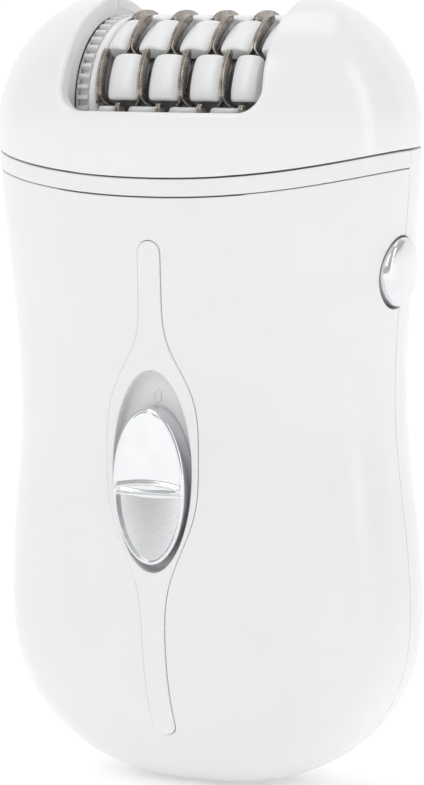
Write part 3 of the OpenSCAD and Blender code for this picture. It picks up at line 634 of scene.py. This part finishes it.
def inlay_mesh():
    loops = [oriented(window(-INLAY_R)), oriented(oval_loop(DISH_W + DISH_R, DISH_H + DISH_R, DISH_Z), False)]
    flat, tri, _ = fill(loops, 0.9)
    p, n = on_front(flat)
    tri = np.asarray(tri)
    normal = np.cross(p[tri[:, 1]] - p[tri[:, 0]], p[tri[:, 2]] - p[tri[:, 0]])
    if (normal * n[tri[:, 0]]).sum() < 0:
        tri = tri[:, ::-1]
    p = p + n * INLAY_LIFT

    def rounding(points):
        rho = np.hypot(points[:, 0] / (DISH_W + DISH_R), (points[:, 2] - DISH_Z) / (DISH_H + DISH_R))
        return np.where(rho < 1.02, DISH_R, INLAY_R)

    plate = solid_skin(p, n, tri, rounding, wall=1.0, arc=5)
    rings, ways = [], []
    rim, _ = on_front(oval_loop(DISH_W, DISH_H, DISH_Z))
    a = np.arange(len(rim)) * 2 * math.pi / len(rim)
    inward = -np.stack([np.cos(a) / DISH_W, 0 * a, np.sin(a) / DISH_H], -1)
    inward /= np.linalg.norm(inward, axis=1, keepdims=True)
    start = rim.copy()
    start[:, 1] += 0.35
    rings.append(start)
    ways.append(inward)
    knee = start.copy()
    knee[:, 1] = DISH_FLOOR - DISH_FILLET
    for k in range(0, 7):
        t = math.pi / 2 * k / 6
        ring = knee + inward * DISH_FILLET * (1 - math.cos(t))
        ring[:, 1] = DISH_FLOOR - DISH_FILLET * (1 - math.sin(t))
        rings.append(ring)
        ways.append(inward * math.cos(t) + np.array([0, -1.0, 0]) * math.sin(t))
    centre = np.array([0, DISH_FLOOR, DISH_Z])
    for f in (0.8, 0.6, 0.4, 0.2, 0.02):
        rings.append(centre + (rings[7] - centre) * f)
        ways.append(np.tile([0, -1.0, 0], (len(rim), 1)))
    m = len(rim)
    faces = grid_faces(len(rings), m, wrap=True)
    faces.append(tuple((len(rings) - 1) * m + i for i in range(m)))
    dish = (np.concatenate(rings), faces, np.concatenate(ways))
    return plate, dish


def zero_mesh():
    rings, ways = [], []
    count, z0, tall = 64, 58.9, 0.16
    a = np.arange(count) * 2 * math.pi / count
    for w, h, y, side in ((0.72, 1.07, 0.05, 1), (0.72, 1.07, -tall + 0.06, 1), (0.67, 1.02, -tall, 0),
                          (0.47, 0.80, -tall, 0), (0.42, 0.75, -tall + 0.06, -1), (0.42, 0.75, 0.05, -1)):
        rings.append(np.stack([w * np.cos(a), np.full(count, DISH_FLOOR + y), z0 + h * np.sin(a)], -1))
        outward = np.full(count, -0.6 if side == 0 else -0.2)
        radial = np.stack([np.cos(a) * side, outward, np.sin(a) * side], -1)
        ways.append(radial / np.linalg.norm(radial, axis=1, keepdims=True))
    return np.concatenate(rings), grid_faces(6, count, wrap=True), np.concatenate(ways)


plate, dish = inlay_mesh()
inlay = piece("handle_inlay", join([plate, dish, zero_mesh()]), "inlay_white", "handle", "front_inlay")
# the dish and its 0 take the greyer material: painted shade of the sunk dish
inlay.data.materials.append(FINISH["dish_grey"])
floor_from = len(plate[1])
for poly in list(inlay.data.polygons)[floor_from:]:
    poly.material_index = 1


# ---------------------------------------------------------------- thumb slider and release button
def slider_mesh():
    """Oval cap: a raised rim, a crowned upper half, a double ridge and a scooped lower half."""
    rows, cols = 230, 71
    tau = np.linspace(-math.pi / 2 + 0.02, math.pi / 2 - 0.02, rows)[:, None]
    u = np.sin(np.linspace(-math.pi / 2, math.pi / 2, cols))[None, :]
    dz = SLIDER_H * np.sin(tau) * np.ones((1, cols))
    x = SLIDER_W * np.cos(tau) * u
    rho = np.sqrt((x / SLIDER_W) ** 2 + (dz / SLIDER_H) ** 2)
    steep = np.sqrt((x / SLIDER_W ** 2) ** 2 + (dz / SLIDER_H ** 2) ** 2) / np.maximum(rho, 1e-6)
    edge = np.maximum(0, (1 - rho) / np.maximum(steep, 1e-6))
    z = SLIDER_Z + dz
    within = np.clip((edge - 0.42) / 0.22, 0, 1)
    within = within * within * (3 - 2 * within)
    across = np.clip(1 - (x / (SLIDER_W - 0.5)) ** 2, 0, 1)
    rise = -0.16 * within
    rise += 0.22 * within * np.clip((z - 46.8) / 9.5, 0, 1) * across
    low = 45.2 - z
    rise -= within * np.clip(low / 0.35, 0, 1) * np.clip(1 - low / 11.0, 0, 1) * (0.75 + 0.25 * across)
    for way in (1, -1):
        rise += 0.34 * within * np.exp(-(((z - 45.8 - way * (0.12 + 0.62 * across)) / 0.26) ** 2))
    fall = np.clip(1 - edge / 0.34, 0, 1)
    rise -= 0.34 * (1 - np.sqrt(np.maximum(0, 1 - fall ** 2)))
    face = np.stack([x, SLIDER_FACE - rise, z], -1)
    n = grid_normals(face)
    if n[rows // 2, cols // 2, 1] > 0:
        n = -n
    faces = grid_faces(rows, cols)
    border = [c for c in range(cols)] + [r * cols + cols - 1 for r in range(1, rows)]
    border += [(rows - 1) * cols + c for c in range(cols - 2, -1, -1)]
    border += [r * cols for r in range(rows - 2, 0, -1)]
    flat = face.reshape(-1, 3)
    rim = flat[border]
    out = np.stack([rim[:, 0] / SLIDER_W ** 2, 0 * rim[:, 0], (rim[:, 2] - SLIDER_Z) / SLIDER_H ** 2], -1)
    out /= np.linalg.norm(out, axis=1, keepdims=True)
    top = flat[border].copy()
    low = top.copy()
    low[:, 1] = SLIDER_BACK
    m = len(border)
    wall = (np.concatenate([top, low]), grid_faces(2, m, wrap=True), np.concatenate([out, out]))
    back = (low, [tuple(range(m))], np.tile([0, 1.0, 0], (m, 1)))
    return join([(flat, faces, n.reshape(-1, 3)), wall, back])


piece("thumb_cap", slider_mesh(), "chrome_trim", "thumb", "thumb_slider")


def revolve(profile, axis_at, axis, side, count=96):
    """A closed solid of revolution from (radius, height) points, hard where a point is repeated."""
    axis, side = np.array(axis, float), np.array(side, float)
    other = np.cross(axis, side)
    a = np.arange(count) * 2 * math.pi / count
    ring = np.cos(a)[:, None] * side + np.sin(a)[:, None] * other
    pts = np.array(profile, float)
    parts, start = [], 0
    cuts = [i + 1 for i in range(len(pts) - 1) if np.allclose(pts[i], pts[i + 1])] + [len(pts)]
    for stop in cuts:
        run = pts[start:stop]
        start = stop
        if len(run) < 2:
            continue
        d = np.gradient(run, axis=0)
        n = np.stack([-d[:, 1], d[:, 0]], -1)
        n /= np.linalg.norm(n, axis=1, keepdims=True)
        v = [np.array(axis_at) + axis * h + ring * r for r, h in run]
        w = [ring * -nr + axis * -nh for nr, nh in n]
        parts.append((np.concatenate(v), grid_faces(len(run), count, wrap=True), np.concatenate(w)))
    return join(parts)


def arc_points(r0, h0, r, start, stop, steps=6):
    a = np.radians(np.linspace(start, stop, steps + 1))
    return [(r0 + r * math.cos(t), h0 + r * math.sin(t)) for t in a]


tilt_axis = (math.cos(BUTTON_TILT), 0, -math.sin(BUTTON_TILT))
tilt_side = (-math.sin(BUTTON_TILT), 0, -math.cos(BUTTON_TILT))
face_points = [(BUTTON_R * 0.9 * t, -0.42 * (t ** 2.4)) for t in np.linspace(0.001, 1, 14)]
cap = face_points + arc_points(BUTTON_R - 0.75, -1.12, 0.75, 62, 0, 8) + [(BUTTON_R, -1.3)]
cap += [(BUTTON_R, -1.3), (BUTTON_R, -3.4), (BUTTON_R, -3.4), (BUTTON_R - 1, -3.4), (BUTTON_R - 1, -3.4)]
cap += [(BUTTON_R - 1, -2), (BUTTON_R - 1, -2), (2, -2), (2, -2), (2, -4.6), (2, -4.6), (0.01, -4.6)]
piece("release_cap", revolve(cap, (BUTTON_X, 0, BUTTON_Z), tilt_axis, tilt_side),
      "chrome_trim", "release", "release_button")

# ---------------------------------------------------------------- head
LIP_R = 0.7
RELIEF_R, RELIEF_Z, RELIEF_RISE = 17.2, 104.5, 0.28


def head_half(edge_x, slant):
    """Right half of the head's skin in its own coordinates, seam to ridge, with the trough cut away."""
    phis = spaced(-math.pi / 2, math.pi / 2, 0.03)
    y = half_d(SEAM_SIDE_Z) * unit_section(phis)[1]
    blend = np.clip((PARTING_Y - y) / 1.0, 0, 1)
    z = SEAM_SIDE_Z + (seam_height(phis, 0) - SEAM_SIDE_Z) * blend + 0.14 + SEAM_R
    bottom = to_domain(phis, z)
    r = LIP_R
    corner_x, corner_z = edge_x - TROUGH_CORNER, LIP_Z + TROUGH_CORNER
    lip_x = spaced(0, corner_x, 0.7)
    a = np.linspace(-math.pi / 2, 0, 12)[1:-1]
    arc_x, arc_z = corner_x + (TROUGH_CORNER + r) * np.cos(a), corner_z + (TROUGH_CORNER + r) * np.sin(a)
    up = TOP_Z - (TOP_Z - corner_z) * (np.linspace(1, 0, 26)) ** 1.8
    x = np.concatenate([lip_x, arc_x, edge_x + r - slant * (up - corner_z) / (TOP_Z - corner_z)])
    z = np.concatenate([np.full(len(lip_x), LIP_Z - r), arc_z, up])
    phi = front_phi(x, z) - 2 * math.pi
    front = to_domain(phi, z)
    front[-1, 1] = V_TOP
    rear = front * [-1, 1]
    across = np.linspace(front[-1, 0], rear[-1, 0], 41)[1:-1]
    ridge = np.stack([across, np.full(len(across), V_TOP)], -1)
    front[0, 0], rear[0, 0] = bottom[0, 0], bottom[-1, 0]
    ends = (bottom[-1, 1], rear[0, 1]), (front[0, 1], bottom[0, 1])
    sides = [spaced(v0, v1, 0.8)[1:-1] for v0, v1 in ends]
    right = np.stack([np.full(len(sides[0]), bottom[-1, 0]), sides[0]], -1)
    left = np.stack([np.full(len(sides[1]), bottom[0, 0]), sides[1]], -1)
    return np.concatenate([bottom, right, rear, ridge[::-1], front[::-1], left])


def head_mesh():
    halves = []
    for side, edge_x, slant in ((1, TROUGH_RIGHT, TROUGH_SLANT), (-1, TROUGH_LEFT, 0)):
        flat, tri, _ = fill([oriented(head_half(edge_x, slant))], 1.0)
        p, n = on_skin(flat)
        d = np.hypot(p[:, 0], p[:, 2] - RELIEF_Z)
        lift = 1 - np.clip((d - RELIEF_R) / 1.6, 0, 1)
        lift = lift * lift * (3 - 2 * lift) * RELIEF_RISE * np.clip(-n[:, 1] * 3, 0, 1) * (p[:, 1] < 0)
        p = p + n * lift[:, None]
        middle = np.abs(np.abs(flat[:, 0]) - math.pi / 2 * S_SCALE) < 1e-4
        p[middle, 0], n[middle, 0] = 0, 0
        tri = np.asarray(tri) if side > 0 else np.asarray(tri)[:, ::-1]
        halves.append((p * [side, 1, 1], [tuple(t) for t in tri.tolist()], n * [side, 1, 1]))
    both, tris, ways = join(halves)
    ways /= np.linalg.norm(ways, axis=1, keepdims=True)
    both, ways, tris = merged(both, ways, tris)
    return solid_skin(both, ways, tris, lambda q: np.where(q[:, 2] > 96, LIP_R, SEAM_R), arc=7)


def cheek_mesh(side):
    """Flat wall at the side of the trough, with a rounded round opening for the rotor."""
    face_x = (TROUGH_RIGHT if side > 0 else TROUGH_LEFT) + 0.05
    back_x, r = face_x + 1.5, 0.35
    z = np.concatenate([spaced(94.6, 110, 0.8), TOP_Z - (TOP_Z - 110) * np.linspace(0.92, 0, 14) ** 1.8])
    q = np.clip((face_x + 0.8) / half_w(z), 0, 0.999) ** CORNER_N
    y = half_d(z) * (1 - q) ** (1 / CORNER_N) - 0.95
    keep = y > 0.3
    y, z = y[keep], z[keep]
    hole_r = CHEEK_HOLE_R + r
    dip = math.asin((AXIS_Z - z[0]) / hole_r)
    a = np.linspace(math.pi + dip, -dip, 110)
    opening = np.stack([hole_r * np.cos(a), AXIS_Z + hole_r * np.sin(a)], -1)
    outline = np.concatenate([np.stack([y, z], -1), np.stack([-y, z], -1)[::-1], opening])
    flat, tri, _ = fill([oriented(resample(outline, 0.8))], 0.9)
    p = np.stack([np.full(len(flat), side * face_x), flat[:, 0], flat[:, 1]], -1)
    n = np.tile([-side, 0.0, 0.0], (len(p), 1))
    tri = np.asarray(tri) if side < 0 else np.asarray(tri)[:, ::-1]
    inner = lambda q: np.where(np.hypot(q[:, 1], q[:, 2] - AXIS_Z) < CHEEK_HOLE_R + 0.5, r, 0.1)
    return solid_skin(p, n, tri, inner, wall=back_x - face_x, arc=6)


piece("head_cover", join([head_mesh(), cheek_mesh(-1), cheek_mesh(1)]), "head_white", "head", "head_housing")


# ---------------------------------------------------------------- rotor
def on_rotor(theta, r, x):
    """A point at an angle counted upwards from the front."""
    return np.stack([x, -r * np.cos(theta), AXIS_Z + r * np.sin(theta)], -1)


def pillow(vertex, low, high, centre_x):
    """One drum-shaped pad with soft edges."""
    around, rho = 72, 0.17
    middle, w = (low + high) / 2, (high - low) / 2
    at = math.radians(vertex + ROW_STEP + PILLOW_LEAD + PILLOW_SPAN / 2)
    span = math.radians(PILLOW_SPAN / 2)
    psi = np.arange(around) * 2 * math.pi / around
    cx, cy = unit_section(psi, 9.0)
    steps = [0, 0.15, 0.3, 0.45, 0.6, 0.75]
    steps += [1 - rho + rho * math.sin(math.pi / 2 * k / 7) for k in range(0, 8)]
    rows = []
    for t in steps:
        e = np.clip((t - (1 - rho)) / rho, 0, 1)
        x = middle + w * cx * t
        r = PILLOW_R - 0.75 * np.abs((x - middle) / w) ** 2.4 - 0.42 * (1 - math.sqrt(1 - e * e))
        rows.append(on_rotor(at + span * cy * t, r, x + centre_x))
    for r in (11.6, 11.0, 10.6):
        rows.append(on_rotor(at + span * cy, np.full(around, r), middle + w * cx + centre_x))
    pts = np.stack(rows)
    wrapped = np.concatenate([pts[:, -1:], pts, pts[:, :1]], axis=1)
    n = grid_normals(wrapped)[:, 1:-1]
    mid = len(steps) // 2
    outward = pts[mid] - np.array([0, 0, AXIS_Z])
    outward[:, 0] = 0
    if (n[mid] * outward).sum() < 0:
        n = -n
    n[0] = on_rotor(np.array([at]), np.array([1.0]), np.array([0.0]))[0] - np.array([0, 0, AXIS_Z])
    return pts.reshape(-1, 3), grid_faces(len(rows), around, wrap=True), n.reshape(-1, 3)


def hub(low, high):
    r, e = HUB_R, 0.18
    profile = [(2.02, low), (2.02, low), (r - e, low), (r - e, low)]
    profile += arc_points(r - e, low + e, e, -90, 0, 3)
    profile += [(r, high - e)] + arc_points(r - e, high - e, e, 0, 90, 3)[1:] + [(r - e, high), (2.02, high)]
    return revolve(profile, (0, 0, AXIS_Z), (1, 0, 0), (0, 0, 1), 72)


def end_rim(low):
    """Thin rim that carries the outermost pillows, open in the middle for the pressure roller."""
    inner, outer, e = 10.55, 11.1, 0.12
    profile = [(8.9, low), (outer - e, low), (outer - e, low)] + arc_points(outer - e, low + e, e, -90, 0, 3)
    profile += [(outer, END_RIM - e)] + arc_points(outer - e, END_RIM - e, e, 0, 90, 3)[1:]
    profile.append((inner, END_RIM))
    profile += [(inner, END_RIM), (inner, low + 0.35), (inner, low + 0.35), (8.9, low + 0.35)]
    return revolve(profile, (0, 0, AXIS_Z), (1, 0, 0), (0, 0, 1), 96)


for s in range(STATIONS):
    x = STATION_X + s * PITCH
    low = STACK_LEFT if s == 0 else x - PITCH / 2
    high = STACK_RIGHT if s == STATIONS - 1 else x + PITCH / 2
    vertex = VERTEX + (s % 2) * ROW_STEP
    core = hub(low + 0.01, high - 0.01)
    left, right = max(-PILLOW_W / 2, STACK_LEFT - x + 0.03), min(PILLOW_W / 2, STACK_RIGHT - x)
    pads = [pillow(vertex + 2 * k * ROW_STEP, left, right, x) for k in range(5)]
    if s == STATIONS - 1:
        beyond = x + PITCH
        pads += [pillow(VERTEX + 2 * k * ROW_STEP, -PILLOW_W / 2, END_RIM - beyond, beyond) for k in range(5)]
        pads.append(end_rim(high - 0.02))
    disc = piece(f"pillow_disc_{s + 1}", join([core, *pads]), "pillow_white", "rotor", f"disc_{s + 1}")
    # the hub faces take the dark grey: painted shade of the gaps between the pillow rows
    disc.data.materials.append(FINISH["hub_grey"])
    for poly in list(disc.data.polygons)[:len(core[1])]:
        poly.material_index = 1

GEAR_TEETH, GEAR_LOW, GEAR_HIGH = 50, -14.7, -12.85


def gear_ring():
    """Rim gear with soft teeth, and a thin flange on its outer side."""
    count = GEAR_TEETH * 16
    a = np.arange(count) * 2 * math.pi / count
    wave = np.clip(0.5 + 0.85 * np.cos(GEAR_TEETH * a), 0, 1)
    edge = 11.95 + 1.0 * wave * wave * (3 - 2 * wave)
    rows = []
    for x, r in ((GEAR_LOW, 2.02), (GEAR_LOW, 11.0), (GEAR_LOW, edge - 0.22), (GEAR_LOW + 0.07, edge - 0.06),
                 (GEAR_LOW + 0.22, edge), (GEAR_HIGH - 0.22, edge), (GEAR_HIGH - 0.07, edge - 0.06),
                 (GEAR_HIGH, edge - 0.22), (GEAR_HIGH, 11.0), (GEAR_HIGH, 2.02)):
        rows.append(on_rotor(a, np.broadcast_to(r, a.shape), np.full(count, x)))
    pts = np.stack(rows)
    wrapped = np.concatenate([pts[:, -1:], pts, pts[:, :1]], axis=1)
    n = grid_normals(wrapped)[:, 1:-1]
    out = pts[4] * [0, 1, 1] - np.array([0, 0, AXIS_Z])
    if (n[4] * out).sum() < 0:
        n = -n
    n[:2], n[-2:] = (-1, 0, 0), (1, 0, 0)
    ring = (pts.reshape(-1, 3), grid_faces(len(rows), count, wrap=True), n.reshape(-1, 3))
    low, high, r = GEAR_LOW - 0.35, GEAR_LOW - 0.02, 12.5
    rim = arc_points(r - 0.12, low + 0.12, 0.12, -90, 0, 3)
    rim += arc_points(r - 0.12, high - 0.12, 0.12, 0, 90, 3)
    flange = revolve([(2.02, low)] + rim + [(2.02, high)], (0, 0, AXIS_Z), (1, 0, 0), (0, 0, 1), 128)
    return join([ring, flange])


def collar_ring():
    low, high, r, e = -12.8, -11.52, 12.75, 0.3
    profile = [(2.02, low), (r - e, low), (r - e, low)] + arc_points(r - e, low + e, e, -90, 0, 5)
    profile += arc_points(r - 0.7, high - 0.7, 0.7, 0, 80, 7) + [(10.9, high), (2.02, high)]
    return revolve(profile, (0, 0, AXIS_Z), (1, 0, 0), (0, 0, 1), 144)


piece("drive_ring", gear_ring(), "gear_white", "rotor", "rotor_gear")
piece("end_ring", collar_ring(), "pillow_white", "rotor", "end_collar")

# One claw: angle past the vertex and radius of its outer and inner edge, from the root to the tip.
CLAW_OUTER = ((-15, 9.4), (-11, 10.3), (-8, 11.4), (-5, 12.3), (-1, 12.9), (4, 13.3),
              (12, 13.65), (20, 13.8), (27, 13.8), (30.5, 13.65), (32, 13.35))
CLAW_INNER = ((-14, 7.4), (-10, 8.6), (-7, 9.9), (-4, 10.9), (0, 11.6), (5, 12.0),
              (12, 12.2), (19, 12.3), (25, 12.4), (29.5, 12.6), (31.6, 13.0))
SPLAY, SPLAY_SPAN = 1.1, 7.0


def smooth_path(points, count):
    """A smooth run through a few points."""
    pts = np.array(points, float)
    t = np.linspace(0, len(pts) - 1, count)
    k = np.clip(t.astype(int), 0, len(pts) - 2)
    f = (t - k)[:, None]
    p0, p1 = pts[np.maximum(k - 1, 0)], pts[k]
    p2, p3 = pts[k + 1], pts[np.minimum(k + 2, len(pts) - 1)]
    square = 2 * p0 - 5 * p1 + 4 * p2 - p3
    cube = 3 * p1 - p0 - 3 * p2 + p3
    return 0.5 * (2 * p1 + (p2 - p0) * f + square * f ** 2 + cube * f ** 3)


def claw(vertex, x, side):
    """One stamped blade. Below the vertex its leg bends away to the given side."""
    count, half, c = 40, BLADE_T / 2, 0.07
    outer, inner = smooth_path(CLAW_OUTER, count), smooth_path(CLAW_INNER, count)
    mean = (outer[:, 0] + inner[:, 0]) / 2
    lean = np.clip(-mean / SPLAY_SPAN, 0, 1)
    shift = x + side * SPLAY * lean * lean * (3 - 2 * lean)
    rows = []
    for i in range(count):
        (to, ro), (ti, ri) = outer[i], inner[i]
        ring = []
        for f, dx in ((0, half - c), (1, half), (-1, half), (2, half - c), (2, c - half), (-1, -half), (1, -half),
                      (0, c - half)):
            if f in (0, 1):
                t, r = to, ro - c * (f == 1)
            else:
                t, r = ti, ri + c * (f == -1)
            ring.append(on_rotor(np.array(math.radians(vertex + t)), r, shift[i] + dx))
        rows.append(np.array(ring))
    pts = np.stack(rows)
    faces = grid_faces(count, 8, wrap=True)
    faces += [tuple(range(8))[::-1], tuple((count - 1) * 8 + i for i in range(8))]
    return pts.reshape(-1, 3), faces


def rod(angle, low, high, r=0.75):
    centre = on_rotor(np.array(math.radians(angle)), ROD_CIRCLE_R, 0.0)
    e = 0.12
    profile = [(0.01, low), (r - e, low), (r, low + e), (r, high - e), (r - e, high), (0.01, high)]
    v, f, _ = revolve(profile, centre, (1, 0, 0), (0, 0, 1), 32)
    return v, f


def blades(name, parts, body, node):
    verts, faces, base = [], [], 0
    for v, f in parts:
        verts.append(v)
        faces += [tuple(i + base for i in face) for face in f]
        base += len(v)
    obj = new_object(name, np.concatenate(verts), faces, None, FINISH["blade_steel"])
    work = bmesh.new()
    work.from_mesh(obj.data)
    bmesh.ops.recalc_face_normals(work, faces=work.faces)
    work.to_mesh(obj.data)
    work.free()
    obj.data.set_sharp_from_angle(angle=math.radians(35))
    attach(obj, body)
    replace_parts(obj, node)
    return obj


GRIP_X = -0.23
for parity, word in ((0, "odd"), (1, "even")):
    claws = [claw(VERTEX + (parity + 2 * k) * ROW_STEP,
                  STATION_X + s * PITCH + GRIP_X - BLADE_T / 2 - BLADE_GAP, -1)
             for s in range(parity, STATIONS, 2) for k in range(5)]
    blades(f"tweezers_fixed_{word}", claws, "rotor", f"fixed_blades_{word}")
for k in range(ROWS):
    vertex = VERTEX + k * ROW_STEP
    claws = [claw(vertex, STATION_X + s * PITCH + GRIP_X + BLADE_T / 2 + BLADE_GAP, 1)
             for s in range(k % 2, STATIONS, 2)]
    claws.append(rod(vertex - ROD_LAG, -15, 14.6))
    blades(f"tweezers_row_{k + 1}", claws, f"row_{k + 1}", f"clamp_row_{k + 1}")

# ---------------------------------------------------------------- parts kept from the CAD
REPLACED = {n for o in bpy.data.objects for n in o.get("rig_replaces", [])}
SLOTS = {part["node"]: part["material_slot"] for part in frame["record"]["subparts"]}
for name, obj in frame["nodes"].items():
    if name in REPLACED:
        continue
    obj.data.materials.clear()
    obj.data.materials.append(FINISH[SLOTS[name]])

# ---------------------------------------------------------------- floor, light and camera
AZ, EL, ROLL, DISTANCE = math.radians(28.5), math.radians(7.6), math.radians(0.95), 0.600
TARGET = Vector((0, 0, 0.0572))
FRAME_H, ROWS_PER_MM, SHIFT_ROWS = 785, 6.807, -0.77
GLOW_NEAR, GLOW_FAR, GLOW_FROM, GLOW_TO = 0.24, 0.38, 0.12, 0.7
SKY_LOW, SKY_HIGH, SKY_STRENGTH = (0.74, 0.74, 0.75, 1), (1, 1, 1, 1), 0.60


def floor_mesh():
    """A floor that curves up into a backdrop behind the object."""
    depth, bend = 1.6, 0.9
    profile = [(-3.0, 0.0), (0.2, 0.0), (depth, 0.0)]
    profile += [(depth + bend * math.sin(a), bend * (1 - math.cos(a)))
                for a in np.linspace(0.1, math.pi / 2, 16)]
    profile.append((depth + bend, 4.0))
    pts = [np.array([(x, y, z) for y, z in profile]) for x in np.linspace(-4, 4, 5)]
    stack = np.stack(pts)
    return stack.reshape(-1, 3), grid_faces(5, len(profile), flip=True)


verts, faces = floor_mesh()
turn = np.array([[math.cos(AZ), -math.sin(AZ), 0], [math.sin(AZ), math.cos(AZ), 0], [0, 0, 1]])
paper = plastic("studio_paper", (0.93, 0.93, 0.93), (0.92, 0.92, 0.92), (0.6, 0.7), grain=500, depth=0.01)
paper.node_tree.nodes["Principled BSDF"].inputs["Emission Color"].default_value = (1, 1, 1, 1)
tree = paper.node_tree
apart = tree.nodes.new("ShaderNodeVectorMath")
apart.operation = "LENGTH"
tree.links.new(tree.nodes["Texture Coordinate"].outputs["Object"], apart.inputs[0])
glow = spread(tree, apart.outputs["Value"], GLOW_NEAR, GLOW_FAR, GLOW_FROM, GLOW_TO)
tree.links.new(glow, tree.nodes["Principled BSDF"].inputs["Emission Strength"])
floor = new_object("studio_floor", verts @ turn.T / MM, faces, None, paper)
floor.location.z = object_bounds()[0].z

scene = bpy.context.scene
scene.view_settings.view_transform = "Standard"
world = bpy.data.worlds.new("studio")
scene.world = world
world.use_nodes = True
tree = world.node_tree
coords = tree.nodes.new("ShaderNodeTexCoord")
split = tree.nodes.new("ShaderNodeSeparateXYZ")
tree.links.new(coords.outputs["Generated"], split.inputs["Vector"])
ramp = tree.nodes.new("ShaderNodeValToRGB")
for stop, place, colour in zip(ramp.color_ramp.elements, (0.0, 1.0), (SKY_LOW, SKY_HIGH)):
    stop.position, stop.color = place, colour
up = spread(tree, split.outputs["Z"], 0, 1, -0.4, 0.9)
tree.links.new(up, ramp.inputs["Fac"])
tree.links.new(ramp.outputs["Color"], tree.nodes["Background"].inputs["Color"])
tree.nodes["Background"].inputs["Strength"].default_value = SKY_STRENGTH


def softbox(name, place, aim, size, power):
    data = bpy.data.lights.new(name, "AREA")
    data.shape = "RECTANGLE"
    data.size, data.size_y = size
    data.energy = power
    obj = bpy.data.objects.new(name, data)
    scene.collection.objects.link(obj)
    obj.location = place
    obj.rotation_mode = "QUATERNION"
    obj.rotation_quaternion = (Vector(aim) - Vector(place)).to_track_quat("-Z", "Y")


back = Vector((math.sin(AZ) * math.cos(EL), -math.cos(AZ) * math.cos(EL), math.sin(EL)))
flat_right = Vector((math.cos(AZ), math.sin(AZ), 0))
flat_up = back.cross(flat_right)


def around_view(right, up, toward):
    """A place named from the camera's own point of view."""
    return TARGET + flat_right * right + flat_up * up + back * toward


softbox("key", around_view(-0.55, 0.65, 0.65), TARGET, (0.5, 0.8), 2.6)
softbox("side", around_view(0.75, 0.25, 0.35), TARGET, (0.25, 0.9), 1.3)
softbox("top", around_view(0.0, 0.95, -0.1), TARGET, (0.7, 0.5), 1.4)

camera = bpy.data.cameras.new("camera")
camera.sensor_width = 36.0
camera.lens = ROWS_PER_MM * DISTANCE / MM / FRAME_H * camera.sensor_width
camera.dof.use_dof = False
cam = bpy.data.objects.new("camera", camera)
scene.collection.objects.link(cam)
scene.camera = cam
cam.location = TARGET + back * DISTANCE
cam.rotation_mode = "QUATERNION"
right = flat_right * math.cos(ROLL) - flat_up * math.sin(ROLL)
up_way = flat_right * math.sin(ROLL) + flat_up * math.cos(ROLL)
cam.rotation_quaternion = Matrix((right, up_way, back)).transposed().to_quaternion()
camera.shift_x = SHIFT_ROWS / FRAME_H
